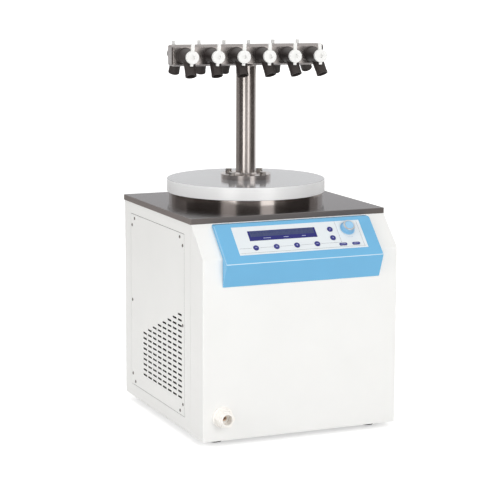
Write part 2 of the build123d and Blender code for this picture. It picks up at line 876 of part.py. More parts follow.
# the valve in its own frame
outlet_direction = Vector(cos(radians(outlet_tilt)), 0, sin(radians(outlet_tilt)))
outlet_start = Vector(0, 0, outlet_root)
outlet_frame = Plane(origin=outlet_start, x_dir=(0, 1, 0), z_dir=outlet_direction)

with BuildPart() as valve_body:
    with BuildSketch(Plane.XZ):
        with BuildLine():
            Polyline(
                (0, 0),
                (collar_radius, 0),
                (collar_radius, collar_length),
                (barrel_root_radius, collar_length + collar_bevel),
                (barrel_tip_radius, barrel_length),
                (0, barrel_length),
                close=True,
            )
        make_face()
    revolve(axis=Axis.Z)
    # outlet branch, slightly tapered, with a bead at its mouth
    with BuildSketch(outlet_frame):
        Circle(outlet_root_radius)
    with BuildSketch(outlet_frame.offset(outlet_reach)):
        Circle(outlet_mouth_radius)
    loft()
    with BuildSketch(outlet_frame.offset(outlet_reach - outlet_bead_length)):
        Circle(outlet_mouth_radius + outlet_bead)
    extrude(amount=outlet_bead_length)
    with BuildSketch(outlet_frame.offset(outlet_reach)):
        Circle(outlet_bore_radius)
    extrude(amount=-outlet_bore_depth, mode=Mode.SUBTRACT)
    with BuildSketch(outlet_frame):
        Circle(passage_radius)
    extrude(amount=outlet_reach, mode=Mode.SUBTRACT)
    # seat on the nipple, passage and the bore of the plug
    with BuildSketch(Plane.XY):
        Circle(nipple_radius + running_gap)
    extrude(amount=nipple_length + seat_gap, mode=Mode.SUBTRACT)
    with BuildSketch(Plane.XY):
        Circle(passage_radius)
    extrude(amount=plug_start, mode=Mode.SUBTRACT)
    with BuildSketch(Plane.XY.offset(plug_start)):
        Circle(plug_radius + running_gap)
    extrude(amount=barrel_length - plug_start, mode=Mode.SUBTRACT)

with BuildPart() as front_valve_bodies:
    for port_frame in front_valve_planes:
        add(valve_body.part.moved(port_frame.location))
front_valve_bodies.part.label = "front_valve_bodies"
export_step(front_valve_bodies.part, "parts/front_valve_bodies.step")

with BuildPart() as rear_valve_bodies:
    for port_frame in rear_valve_planes:
        add(valve_body.part.moved(port_frame.location))
rear_valve_bodies.part.label = "rear_valve_bodies"
export_step(rear_valve_bodies.part, "parts/rear_valve_bodies.step")

# the handle in the same frame: its lever points away from the outlet
knob_back = barrel_length + handle_gap
knob_front = knob_back + knob_thickness
with BuildPart() as stopcock_handle:
    with BuildSketch(Plane.XY.offset(knob_back)):
        Circle(knob_radius)
    extrude(amount=knob_thickness)
    fillet(stopcock_handle.faces().sort_by(Axis.Z)[-1].edges(), radius=knob_edge_radius)
    with BuildSketch(Plane.XY.offset(knob_back)):
        with Locations((-lever_reach / 2, 0)):
            Rectangle(lever_reach, lever_width)
        with Locations((nub_reach / 2, 0)):
            Rectangle(nub_reach, nub_width)
    extrude(amount=lever_thickness)
    with BuildSketch(Plane.XY.offset(knob_front)):
        Circle(knob_dimple_radius)
    extrude(amount=-knob_dimple_depth, mode=Mode.SUBTRACT)
    # plug with its elbow passage
    with BuildSketch(Plane.XY.offset(plug_start + seat_gap)):
        Circle(plug_radius)
    extrude(amount=knob_back - plug_start - seat_gap)
    with BuildSketch(Plane.XY.offset(plug_start + seat_gap)):
        Circle(passage_radius)
    extrude(amount=outlet_root - plug_start, mode=Mode.SUBTRACT)
    with BuildSketch(Plane.YZ.offset(-plug_radius)):
        with Locations((0, outlet_root + passage_radius)):
            Circle(passage_radius)
    extrude(amount=plug_radius, mode=Mode.SUBTRACT)

# a lever leans to the right where its number is positive, so its lower end leans to the left
handle_places = []
for port, lever_lean in enumerate(front_lever_leans):
    handle_places.append((f"front_handle_{port + 1}", valve_plane(port, -lever_lean, -1)))
for port, lever_lean in enumerate(rear_lever_leans):
    handle_places.append((f"rear_handle_{port + 1}", valve_plane(port, -lever_lean, 1)))

for handle_name, handle_frame in handle_places:
    with BuildPart() as handle:
        add(stopcock_handle.part.moved(handle_frame.location))
    handle.part.label = handle_name
    export_step(handle.part, f"parts/{handle_name}.step")

# ---------------------------------------------------------------- console
def inset_corner(before, corner, after, wall_before, wall_after):
    """Where two edges of an anticlockwise outline meet once each has moved in by its wall."""
    u = (Vector(*corner) - Vector(*before)).normalized()
    v = (Vector(*after) - Vector(*corner)).normalized()
    spread = u.X * v.Y - u.Y * v.X
    shift_x = (wall_before * v.X - wall_after * u.X) / spread
    shift_y = (wall_before * v.Y - wall_after * u.Y) / spread
    return (corner[0] + shift_x, corner[1] + shift_y)


hood_back_top = (slope_top_y - console_top_gap - 2 * fit_gap, console_top_z)
hood_front_top = (console_top_y, console_top_z)
hood_knee = (console_knee_y, console_knee_z)
hood_foot = (cover_y - fit_gap - sheet, console_foot_z)
hood_foot_back = (cover_y - fit_gap, console_foot_z)
hood_cover_knee = (cover_y - fit_gap, knee_z + fit_gap)
cavity_top = inset_corner(hood_back_top, hood_front_top, hood_knee, console_wall, console_wall)
cavity_knee = inset_corner(hood_front_top, hood_knee, hood_foot, console_wall, console_wall)
cavity_foot = inset_corner(hood_knee, hood_foot, hood_foot_back, console_wall, console_wall)

display_middle_x = (display_right - display_left) / 2
display_width = display_left + display_right
display_middle_down = display_top + display_height / 2
round_key_points = [
    (key_row_start + number * key_row_pitch, -key_row_down) for number in range(key_row_count)
]
round_key_points += [(side_key_x, -down) for down in side_key_downs]
oblong_key_points = [(x, -oblong_key_down) for x in oblong_key_xs]
post_points = [
    (board_middle[0] + x_sign * post_spacing_x / 2, board_middle[1] + y_sign * post_spacing_y / 2)
    for x_sign in (-1, 1)
    for y_sign in (-1, 1)
]

with BuildPart() as console_housing:
    with BuildSketch(Plane.YZ.offset(-console_width / 2)):
        with BuildLine():
            Polyline(
                hood_back_top,
                hood_front_top,
                hood_knee,
                hood_foot,
                hood_foot_back,
                hood_cover_knee,
                close=True,
            )
        make_face()
    extrude(amount=console_width)
    housing_knee = console_housing.edges().filter_by(Axis.X).sort_by(Axis.Y)[0]
    fillet(housing_knee, radius=console_knee_radius)
    # both ends are rounded where they don't lie on the cover
    for end in (0, -1):
        top_edge = console_housing.edges().group_by(Axis.X)[end].sort_by(Axis.Z)[-1]
        fillet(top_edge, radius=console_corner_radius)
    for end in (0, -1):
        end_edges = console_housing.edges().group_by(Axis.X)[end]
        fillet(end_edges.sort_by(Axis.Y)[:3], radius=console_edge_radius)
    # the hollow behind the sloped face and the lower face, open towards the cover
    with BuildSketch(Plane.YZ.offset(console_wall - console_width / 2)):
        with BuildLine():
            Polyline(
                cavity_top,
                cavity_knee,
                cavity_foot,
                (seam_y, cavity_foot[1]),
                (seam_y, cavity_top[1]),
                close=True,
            )
        make_face()
    extrude(amount=console_width - 2 * console_wall, mode=Mode.SUBTRACT)
    # posts that carry the circuit board
    with BuildSketch(console_face.offset(-board_depth)):
        with Locations(*post_points):
            Circle(post_radius)
    extrude(amount=board_depth - console_wall / 2)
    # windows for the display, the keys and the dial's bushing
    with BuildSketch(console_face.offset(-2 * console_wall)):
        with Locations((display_middle_x, -display_middle_down)):
            Rectangle(display_width + 2 * fit_gap, display_height + 2 * fit_gap)
        with Locations(*round_key_points):
            Circle(key_radius + key_gap)
        with Locations(*oblong_key_points):
            SlotOverall(oblong_key_length + 2 * key_gap, oblong_key_width + 2 * key_gap)
        with Locations((dial_x, -dial_down)):
            Circle(bushing_radius + fit_gap)
    extrude(amount=3 * console_wall, mode=Mode.SUBTRACT)
console_housing.part.label = "console_housing"
export_step(console_housing.part, "parts/console_housing.step")

with BuildPart() as console_overlay:
    with BuildSketch(console_face):
        with Locations((overlay_middle_x, -overlay_middle_down)):
            Rectangle(overlay_width, overlay_height)
        with Locations((display_middle_x, -display_middle_down)):
            Rectangle(display_width + 2 * fit_gap, display_height + 2 * fit_gap, mode=Mode.SUBTRACT)
        with Locations(*round_key_points):
            Circle(key_radius + key_gap, mode=Mode.SUBTRACT)
        with Locations(*oblong_key_points):
            oblong_hole = (oblong_key_length + 2 * key_gap, oblong_key_width + 2 * key_gap)
            SlotOverall(*oblong_hole, mode=Mode.SUBTRACT)
        with Locations((dial_x, -dial_down)):
            Circle(bushing_radius + fit_gap, mode=Mode.SUBTRACT)
    extrude(amount=overlay_thickness)
console_overlay.part.label = "console_overlay"
export_step(console_overlay.part, "parts/console_overlay.step")

with BuildPart() as control_board:
    with BuildSketch(console_face.offset(-board_depth - board_thickness)):
        with Locations(board_middle):
            Rectangle(board_width, board_height)
    extrude(amount=board_thickness)
    # one push switch under each key
    switch_stop = board_depth - console_wall - key_flange_thickness - 2 * seat_gap - key_travel
    with BuildSketch(console_face.offset(-board_depth)):
        with Locations(*round_key_points, *oblong_key_points):
            Rectangle(switch_size, switch_size)
    extrude(amount=switch_stop)
control_board.part.label = "control_board"
export_step(control_board.part, "parts/control_board.step")

with BuildPart() as lcd_module:
    with BuildSketch(console_face.offset(-board_depth)):
        with Locations((display_middle_x, -display_middle_down)):
            Rectangle(display_width - 2 * display_bezel, display_height)
    extrude(amount=board_depth - console_wall)
    with BuildSketch(console_face.offset(-console_wall)):
        with Locations((display_middle_x, -display_middle_down)):
            Rectangle(display_width, display_height)
    extrude(amount=console_wall + overlay_thickness)
lcd_module.part.label = "lcd_module"
export_step(lcd_module.part, "parts/lcd_module.step")

key_top = overlay_thickness + key_stand
console_normal = Axis(console_face.origin, console_face.z_dir)
flange_top = console_wall + seat_gap
for number, key_point in enumerate(round_key_points):
    with BuildPart() as round_key:
        with BuildSketch(console_face.offset(-flange_top)):
            with Locations(key_point):
                Circle(key_radius)
        extrude(amount=flange_top + key_top)
        key_rim = round_key.edges().group_by(console_normal)[-1]
        fillet(key_rim, radius=key_stand / 2)
        with BuildSketch(console_face.offset(-flange_top - key_flange_thickness)):
            with Locations(key_point):
                Circle(key_radius + key_flange)
        extrude(amount=key_flange_thickness)
    round_key.part.label = f"round_key_{number + 1}"
    export_step(round_key.part, f"parts/round_key_{number + 1}.step")

for number, key_point in enumerate(oblong_key_points):
    with BuildPart() as oblong_key:
        with BuildSketch(console_face.offset(-flange_top)):
            with Locations(key_point):
                SlotOverall(oblong_key_length, oblong_key_width)
        extrude(amount=flange_top + key_top)
        with BuildSketch(console_face.offset(-flange_top - key_flange_thickness)):
            with Locations(key_point):
                SlotOverall(oblong_key_length + 2 * key_flange, oblong_key_width + 2 * key_flange)
        extrude(amount=key_flange_thickness)
    oblong_key.part.label = f"oblong_key_{number + 1}"
    export_step(oblong_key.part, f"parts/oblong_key_{number + 1}.step")

# ---------------------------------------------------------------- dial
dial_plane = Plane(
    origin=console_face.from_local_coords((dial_x, -dial_down, 0)),
    x_dir=(1, 0, 0),
    z_dir=console_face.z_dir,
)
skirt_base = overlay_thickness + dial_travel + seat_gap
shaft_stop = skirt_base + dial_height - dial_ring_height - seat_gap
bushing_top = skirt_base - seat_gap / 2 - dial_travel

with BuildPart() as dial_encoder:
    with BuildSketch(dial_plane.offset(-board_depth)):
        Rectangle(encoder_size, encoder_size)
    extrude(amount=encoder_height)
    with BuildSketch(dial_plane.offset(-board_depth)):
        Circle(bushing_radius)
    extrude(amount=board_depth + bushing_top)
    with BuildSketch(dial_plane.offset(-board_depth + sheet)):
        Circle(dial_shaft_radius + running_gap)
    extrude(amount=2 * board_depth, mode=Mode.SUBTRACT)
dial_encoder.part.label = "dial_encoder"
export_step(dial_encoder.part, "parts/dial_encoder.step")

with BuildPart() as dial_shaft:
    with BuildSketch(dial_plane.offset(-board_depth + sheet + dial_travel + seat_gap)):
        Circle(dial_shaft_radius)
    extrude(amount=board_depth - sheet - dial_travel - seat_gap + shaft_stop)
dial_shaft.part.label = "dial_shaft"
export_step(dial_shaft.part, "parts/dial_shaft.step")

dial_section = Plane(origin=dial_plane.origin, x_dir=(1, 0, 0), z_dir=-dial_plane.y_dir)
dial_axis = Axis(dial_plane.origin, dial_plane.z_dir)
dial_top = skirt_base + dial_height
with BuildPart() as dial_knob:
    with BuildSketch(dial_section):
        with BuildLine():
            Polyline(
                (0, skirt_base),
                (skirt_radius, skirt_base),
                (skirt_radius - skirt_bevel, skirt_base + skirt_height),
                (dial_barrel_radius + dial_barrel_draft, skirt_base + skirt_height),
                (dial_barrel_radius, dial_top - dial_ring_height),
                (0, dial_top - dial_ring_height),
                close=True,
            )
        make_face()
    revolve(axis=dial_axis)
    with BuildSketch(dial_plane.offset(skirt_base)):
        Circle(dial_shaft_radius + running_gap)
    extrude(amount=shaft_stop - skirt_base + fit_gap, mode=Mode.SUBTRACT)
dial_knob.part.label = "dial_knob"
export_step(dial_knob.part, "parts/dial_knob.step")

with BuildPart() as dial_ring:
    with BuildSketch(dial_plane.offset(dial_top - dial_ring_height)):
        Circle(dial_ring_radius)
        Circle(dial_ring_radius - dial_ring_width, mode=Mode.SUBTRACT)
    extrude(amount=dial_ring_height)
    ring_rim = dial_ring.edges().group_by(dial_axis)[-1]
    chamfer(ring_rim, length=dial_ring_height / 3)
dial_ring.part.label = "dial_ring"
export_step(dial_ring.part, "parts/dial_ring.step")

with BuildPart() as dial_cap:
    with BuildSketch(dial_plane.offset(dial_top - dial_ring_height)):
        Circle(dial_ring_radius - dial_ring_width - running_gap)
    extrude(amount=dial_cap_height)
    cap_rim = dial_cap.edges().group_by(dial_axis)[-1]
    fillet(cap_rim, radius=dial_cap_height - dial_ring_height)
dial_cap.part.label = "dial_cap"
export_step(dial_cap.part, "parts/dial_cap.step")

# ---------------------------------------------------------------- drain
drain_flow_depth = sheet + drain_nut_height + seat_gap
with BuildPart() as drain_fitting:
    with BuildSketch(drain_plane):
        Circle(drain_washer_radius)
    extrude(amount=drain_washer_height)
    washer_rim = drain_fitting.edges().filter_by(GeomType.CIRCLE).group_by(Axis.Y)[0]
    fillet(washer_rim, radius=drain_washer_edge)
    with BuildSketch(drain_plane.offset(drain_washer_height)):
        RegularPolygon(radius=drain_hex_flats / 2, side_count=6, major_radius=False)
    extrude(amount=drain_hex_end - drain_washer_height)
    with BuildSketch(drain_plane.offset(drain_hex_end)):
        Circle(drain_collar_radius)
    extrude(amount=drain_stand - drain_hex_end)
    collar_rim = drain_fitting.edges().filter_by(GeomType.CIRCLE).group_by(Axis.Y)[0]
    fillet(collar_rim, radius=drain_collar_edge)
    # threaded end behind the cover, with its nut
    with BuildSketch(drain_plane):
        Circle(drain_thread_radius)
    extrude(amount=-drain_flow_depth)
    with BuildSketch(drain_plane.offset(-sheet)):
        RegularPolygon(radius=drain_hex_flats / 2, side_count=6, major_radius=False)
    extrude(amount=-drain_nut_height)
    with BuildSketch(drain_plane.offset(drain_stand)):
        Circle(drain_bore_radius)
    extrude(amount=-drain_bore_depth, mode=Mode.SUBTRACT)
    with BuildSketch(drain_plane.offset(drain_stand)):
        Circle(drain_pipe_radius + fit_gap)
    extrude(amount=-drain_stand - drain_flow_depth, mode=Mode.SUBTRACT)
drain_fitting.part.label = "drain_fitting"
export_step(drain_fitting.part, "parts/drain_fitting.step")

drain_z = base_z + drain_height
drain_route = [
    (0, chamber_y, chamber_floor_z),
    (0, chamber_y, foam_bottom_z - drain_pipe_drop),
    (0, cover_y + drain_pipe_turn, foam_bottom_z - drain_pipe_drop - drain_pipe_fall),
    (drain_x, cover_y + drain_pipe_run, drain_z),
    (drain_x, cover_y - drain_stand + drain_bore_depth + seat_gap, drain_z),
]


def swept_tube(route, bends, outer_radius, bore_radius):
    """A tube along straight runs that are joined by tangent arcs."""
    with BuildLine() as center_line:
        FilletPolyline(*route, radius=bends)
    start = Plane(origin=center_line.line @ 0, z_dir=center_line.line % 0)
    with BuildSketch(start) as section:
        Circle(outer_radius)
        if bore_radius:
            Circle(bore_radius, mode=Mode.SUBTRACT)
    return sweep(section.sketch, path=center_line.line, mode=Mode.PRIVATE)


with BuildPart() as drain_pipe:
    add(swept_tube(drain_route, drain_bends, drain_pipe_radius, drain_pipe_bore))
drain_pipe.part.label = "drain_pipe"
export_step(drain_pipe.part, "parts/drain_pipe.step")

# ---------------------------------------------------------------- vacuum line
with BuildPart() as vacuum_pipe:
    vacuum_route = [
        (pipe_drop_x, pipe_drop_y, chamber_floor_z),
        (pipe_drop_x, pipe_drop_y, port_height),
        (pipe_drop_x, back_y + pump_plate_thickness, port_height),
    ]
    add(swept_tube(vacuum_route, [pump_pipe_radius * 2], pump_pipe_radius, pump_pipe_bore))
vacuum_pipe.part.label = "vacuum_pipe"
export_step(vacuum_pipe.part, "parts/vacuum_pipe.step")

with BuildPart() as pump_port:
    # a bolted plate, a short neck and the clamp flange of the pump's hose
    with BuildSketch(port_plane):
        Circle(pump_plate_radius)
        Circle(pump_pipe_radius + fit_gap, mode=Mode.SUBTRACT)
    extrude(amount=pump_plate_thickness)
    with BuildSketch(port_plane.offset(pump_plate_thickness)):
        Circle(pump_pipe_radius + sheet)
    extrude(amount=pump_port_stand - pump_plate_thickness)
    with BuildSketch(port_plane.offset(pump_port_stand - pump_flange_height)):
        Circle(pump_port_flange_radius)
    extrude(amount=pump_flange_height)
    flange_rims = pump_port.edges().filter_by(GeomType.CIRCLE).group_by(Axis.Y)[-2]
    chamfer(flange_rims.sort_by(SortBy.RADIUS)[-1], length=pump_flange_bevel)
    with BuildSketch(port_plane.offset(pump_plate_thickness)):
        Circle(pump_port_bore)
    extrude(amount=pump_port_stand, mode=Mode.SUBTRACT)
pump_port.part.label = "pump_port"
export_step(pump_port.part, "parts/pump_port.step")

# ---------------------------------------------------------------- power module
rocker_drop = rocker_length / 2 - power_length / 2 + power_margin
socket_rise = power_length / 2 - socket_length / 2 - power_margin
pin_points = [
    (earth_pin_x, socket_rise),
    (line_pin_x, socket_rise + line_pin_spread),
    (line_pin_x, socket_rise - line_pin_spread),
]
with BuildPart() as power_inlet:
    with BuildSketch(power_plane):
        RectangleRounded(power_width + 2 * power_lip, power_length + 2 * power_lip, power_lip)
    extrude(amount=power_lip)
    with BuildSketch(power_plane):
        Rectangle(power_width, power_length)
    extrude(amount=-power_depth)
    # the socket with its three pins, and the well of the rocker
    with BuildSketch(power_plane.offset(power_lip)):
        with Locations((0, socket_rise)):
            Rectangle(socket_width, socket_length)
    extrude(amount=-socket_depth, mode=Mode.SUBTRACT)
    with BuildSketch(power_plane.offset(power_lip - socket_depth)):
        with Locations(*pin_points):
            Rectangle(pin_width, pin_thickness)
    extrude(amount=socket_depth - pin_recess)
    with BuildSketch(power_plane.offset(power_lip)):
        with Locations((0, rocker_drop)):
            Rectangle(rocker_width + 2 * seat_gap, rocker_length + 2 * seat_gap)
    extrude(amount=-socket_depth, mode=Mode.SUBTRACT)
power_inlet.part.label = "power_inlet"
export_step(power_inlet.part, "parts/power_inlet.step")

rocker_plane = Plane(
    origin=power_plane.from_local_coords((0, rocker_drop, power_lip - rocker_pivot_depth)),
    x_dir=power_plane.y_dir,
    z_dir=-power_plane.x_dir,
)
with BuildPart() as switch_rocker:
    # a shallow V that is rocked to its off side
    with BuildSketch(rocker_plane.offset(-rocker_width / 2)):
        with BuildLine(Plane.XY.rotated((0, 0, rocker_swing / 2))):
            Polyline(
                (-rocker_length / 2, 0),
                (rocker_taper - rocker_length / 2, -rocker_pivot_depth - rocker_rise),
                (0, -rocker_pivot_depth),
                (rocker_length / 2 - rocker_taper, -rocker_pivot_depth - rocker_rise),
                (rocker_length / 2, 0),
                (rocker_length / 4, rocker_pivot_depth),
                (-rocker_length / 4, rocker_pivot_depth),
                close=True,
            )
        make_face()
    extrude(amount=rocker_width)
switch_rocker.part.label = "switch_rocker"
export_step(switch_rocker.part, "parts/switch_rocker.step")

# ---------------------------------------------------------------- refrigeration
compressor_section = Plane(origin=(compressor_x, compressor_y, 0), x_dir=(1, 0, 0), z_dir=(0, -1, 0))
compressor_axis = Axis((compressor_x, compressor_y, 0), (0, 0, 1))
can_z0 = floor_z + compressor_foot_height
can_z1 = can_z0 + compressor_height
stub_z = can_z1 + stub_rise
discharge_point = (compressor_x - stub_spread, compressor_y - stub_offset)
suction_point = (compressor_x + stub_spread, compressor_y - stub_offset)

with BuildPart() as compressor:
    with BuildSketch(compressor_section):
        with BuildLine():
            outline = FilletPolyline(
                (0, can_z0),
                (compressor_radius, can_z0),
                (compressor_radius, can_z1),
                (0, can_z1),
                radius=[can_lower_radius, can_upper_radius],
            )
            Line(outline @ 1, outline @ 0)
        make_face()
    revolve(axis=compressor_axis)
    # seam of the two half shells
    with BuildSketch(Plane(origin=(compressor_x, compressor_y, can_z0 + compressor_height / 2))):
        Circle(compressor_radius + can_seam_rise)
    extrude(amount=can_seam_width)
    # foot plate on four grommets
    with BuildSketch(Plane(origin=(compressor_x, compressor_y, can_z0))):
        RectangleRounded(2 * compressor_radius, 2 * compressor_radius, compressor_plate_corner)
    extrude(amount=compressor_plate)
    with BuildSketch(Plane(origin=(compressor_x, compressor_y, floor_z))):
        grommet_pitch = 2 * compressor_radius - 2 * grommet_inset
        with GridLocations(grommet_pitch, grommet_pitch, 2, 2):
            Circle(grommet_radius)
    extrude(amount=compressor_foot_height)
    with BuildSketch(Plane.XY.offset(can_z1 - can_upper_radius)):
        with Locations(discharge_point, suction_point):
            Circle(tube_radius + stub_wall)
    extrude(amount=can_upper_radius + stub_rise)
compressor.part.label = "compressor"
export_step(compressor.part, "parts/compressor.step")

condenser_x = condenser_inset - side_x
condenser_z0 = floor_z + condenser_stand
condenser_mid_z = condenser_z0 + condenser_height / 2
condenser_end_y = condenser_y + condenser_width / 2
fin_pitch = (condenser_width - fin_thickness) / (condenser_fins - 1)
tube_pitch = condenser_height / condenser_tubes
condenser_tube_points = [
    (0, (number + 0.5) * tube_pitch - condenser_height / 2) for number in range(condenser_tubes)
]
condenser_plane = Plane(
    origin=(condenser_x, condenser_y - condenser_width / 2, condenser_mid_z),
    x_dir=(1, 0, 0),
    z_dir=(0, -1, 0),
)

with BuildPart() as air_condenser:
    for number in range(condenser_fins):
        with BuildSketch(condenser_plane.offset(-fin_thickness - number * fin_pitch)):
            Rectangle(condenser_depth, condenser_height)
        extrude(amount=fin_thickness)
    # the two end plates stand on the floor
    for fin_start in (-fin_thickness, -condenser_width):
        with BuildSketch(condenser_plane.offset(fin_start)):
            with Locations((0, -condenser_height / 2)):
                Rectangle(condenser_depth, 2 * condenser_stand)
        extrude(amount=fin_thickness)
    with BuildSketch(condenser_plane.offset(tube_overhang)):
        with Locations(*condenser_tube_points):
            Circle(condenser_tube_radius)
    extrude(amount=-condenser_width - 2 * tube_overhang)
air_condenser.part.label = "air_condenser"
export_step(air_condenser.part, "parts/air_condenser.step")

# fan: its axis runs along X, from the condenser into the cabinet
shroud_x = condenser_x + condenser_depth / 2 + seat_gap
fan_plane = Plane(origin=(shroud_x, condenser_y, condenser_mid_z), x_dir=(0, 1, 0), z_dir=(1, 0, 0))
shroud_height = condenser_mid_z + condenser_height / 2 - floor_z
with BuildPart() as fan_shroud:
    with BuildSketch(fan_plane):
        with Locations((0, condenser_height / 2 - shroud_height / 2)):
            Rectangle(condenser_width, shroud_height)
    extrude(amount=shroud_plate)
    with BuildSketch(fan_plane):
        Circle(fan_radius + fan_tip_gap + shroud_plate)
    extrude(amount=shroud_depth)
    with BuildSketch(fan_plane):
        Circle(fan_radius + fan_tip_gap)
    extrude(amount=shroud_depth, mode=Mode.SUBTRACT)
    # two arms behind the fan carry the motor
    with BuildSketch(fan_plane.offset(shroud_depth)):
        arm_length = 2 * (fan_radius + fan_tip_gap + shroud_plate)
        Rectangle(arm_length, motor_arm_width, rotation=45)
        Rectangle(arm_length, motor_arm_width, rotation=135)
        Circle(motor_radius + motor_collar)
        Circle(motor_radius + fit_gap, mode=Mode.SUBTRACT)
    extrude(amount=2 * shroud_plate)
fan_shroud.part.label = "fan_shroud"
export_step(fan_shroud.part, "parts/fan_shroud.step")

hub_start = shroud_plate + fan_hub_gap
with BuildPart() as fan_motor:
    with BuildSketch(fan_plane.offset(shroud_depth)):
        Circle(motor_radius)
    extrude(amount=motor_length)
    with BuildSketch(fan_plane.offset(shroud_depth + motor_length)):
        Circle(motor_boss_radius)
    extrude(amount=motor_boss_length)
    with BuildSketch(fan_plane.offset(hub_start + shaft_setback)):
        Circle(motor_shaft_radius)
    extrude(amount=shroud_depth - hub_start)
fan_motor.part.label = "fan_motor"
export_step(fan_motor.part, "parts/fan_motor.step")

with BuildPart() as fan_rotor:
    with BuildSketch(fan_plane.offset(hub_start)):
        Circle(fan_hub_radius)
    extrude(amount=fan_depth)
    # twisted blades, steep at the hub and flat at the tip
    for blade in range(fan_blades):
        blade_angle = 360 / fan_blades * blade
        blade_root = Plane(
            origin=fan_plane.from_local_coords((0, 0, hub_start + fan_depth / 2)),
            x_dir=(1, 0, 0),
            z_dir=(0, cos(radians(blade_angle)), sin(radians(blade_angle))),
        )
        with BuildSketch(blade_root.offset(fan_hub_radius - blade_root_depth)):
            Rectangle(blade_root_chord, blade_thickness, rotation=blade_root_pitch)
        with BuildSketch(blade_root.offset(fan_radius)):
            Rectangle(blade_tip_chord, blade_thickness, rotation=blade_tip_pitch)
        loft()
    with BuildSketch(fan_plane.offset(hub_start)):
        Circle(motor_shaft_radius + running_gap)
    extrude(amount=fan_depth, mode=Mode.SUBTRACT)
fan_rotor.part.label = "fan_rotor"
export_step(fan_rotor.part, "parts/fan_rotor.step")

pipe_end_y = condenser_end_y + tube_overhang
tube_high_z = condenser_mid_z + condenser_tube_points[-1][1]
tube_low_z = condenser_mid_z + condenser_tube_points[0][1]
inlet_header = around_chamber(coil_angles[1], foam_bottom_z)
outlet_header = around_chamber(coil_angles[0], foam_bottom_z)
discharge_route = [
    (*discharge_point, stub_z),
    (*discharge_point, stub_z + discharge_rise),
    (condenser_x, pipe_end_y + discharge_back, stub_z + discharge_rise),
    (condenser_x, pipe_end_y + discharge_back, tube_high_z),
    (condenser_x, pipe_end_y, tube_high_z),
]
suction_z = foam_bottom_z - suction_drop
suction_route = [
    outlet_header,
    (outlet_header[0], outlet_header[1], suction_z),
    (suction_point[0], outlet_header[1] + suction_back, suction_z),
    (suction_point[0], suction_point[1], suction_z),
    (*suction_point, stub_z),
]
liquid_y = pipe_end_y + liquid_back
liquid_route = [
    (condenser_x, pipe_end_y, tube_low_z),
    (condenser_x, liquid_y, tube_low_z),
    (liquid_turn_x, liquid_y, tube_low_z),
    (liquid_turn_x, 0, foam_bottom_z - liquid_drop),
    (inlet_header[0], inlet_header[1], foam_bottom_z - liquid_drop + liquid_rise),
    inlet_header,
]
with BuildPart() as refrigerant_pipes:
    add(swept_tube(discharge_route, discharge_bends, tube_radius, 0))
    add(swept_tube(suction_route, suction_bends, tube_radius, 0))
    add(swept_tube(liquid_route, liquid_bends, tube_radius, 0))
    # filter drier in the liquid line
    with BuildSketch(Plane(origin=(drier_x, liquid_y, tube_low_z), x_dir=(0, 1, 0), z_dir=(1, 0, 0))):
        Circle(drier_radius)
    extrude(amount=drier_length)
    drier_ends = refrigerant_pipes.edges().filter_by(GeomType.CIRCLE).filter_by(
        lambda edge: abs(edge.radius - drier_radius) < 0.01
    )
    fillet(drier_ends, radius=drier_end_radius)
refrigerant_pipes.part.label = "refrigerant_pipes"
export_step(refrigerant_pipes.part, "parts/refrigerant_pipes.step")
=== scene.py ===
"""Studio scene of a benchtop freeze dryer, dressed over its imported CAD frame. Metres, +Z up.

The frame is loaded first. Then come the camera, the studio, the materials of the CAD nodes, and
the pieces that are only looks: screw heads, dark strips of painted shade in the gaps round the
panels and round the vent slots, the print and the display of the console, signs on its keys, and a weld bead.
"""

import json
import math

import bmesh
import bpy
from mathutils import Matrix, Vector


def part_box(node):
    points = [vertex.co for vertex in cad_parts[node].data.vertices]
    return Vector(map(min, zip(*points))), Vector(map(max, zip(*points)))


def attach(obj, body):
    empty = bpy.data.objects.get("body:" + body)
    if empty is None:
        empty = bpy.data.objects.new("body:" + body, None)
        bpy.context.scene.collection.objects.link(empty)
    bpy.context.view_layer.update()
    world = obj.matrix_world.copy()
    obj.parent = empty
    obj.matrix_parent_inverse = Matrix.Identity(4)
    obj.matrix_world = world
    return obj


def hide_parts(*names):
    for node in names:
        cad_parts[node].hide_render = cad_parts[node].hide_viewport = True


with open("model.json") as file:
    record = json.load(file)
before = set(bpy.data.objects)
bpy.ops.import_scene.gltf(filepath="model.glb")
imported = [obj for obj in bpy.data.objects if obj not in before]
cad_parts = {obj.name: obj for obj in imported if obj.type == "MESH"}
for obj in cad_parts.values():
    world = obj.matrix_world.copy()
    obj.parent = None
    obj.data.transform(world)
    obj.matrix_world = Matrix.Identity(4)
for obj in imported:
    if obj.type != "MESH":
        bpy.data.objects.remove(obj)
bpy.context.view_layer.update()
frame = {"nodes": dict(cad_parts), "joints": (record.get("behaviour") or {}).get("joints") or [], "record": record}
nodes = frame["nodes"]
lid_low, lid_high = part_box("lid_plate")
turning_center = ((lid_low.x + lid_high.x) / 2, (lid_low.y + lid_high.y) / 2, 0.0)

# ---------------------------------------------------------------- camera
CAMERA_PLACE = Vector((-1.5698, -3.5703, 1.0258))
CAMERA_YAW = math.radians(23.544)
CAMERA_PITCH = math.radians(9.587)
CAMERA_ROLL = math.radians(0.219)
CAMERA_LENS = 128.15
SENSOR_WIDTH = 36.0
CLIP_END = 50.0

forward = Vector(
    (
        math.sin(CAMERA_YAW) * math.cos(CAMERA_PITCH),
        math.cos(CAMERA_YAW) * math.cos(CAMERA_PITCH),
        -math.sin(CAMERA_PITCH),
    )
)
level_right = Vector((math.cos(CAMERA_YAW), -math.sin(CAMERA_YAW), 0))
level_up = level_right.cross(forward)
camera_right = level_right * math.cos(CAMERA_ROLL) + level_up * math.sin(CAMERA_ROLL)
camera_up = level_up * math.cos(CAMERA_ROLL) - level_right * math.sin(CAMERA_ROLL)

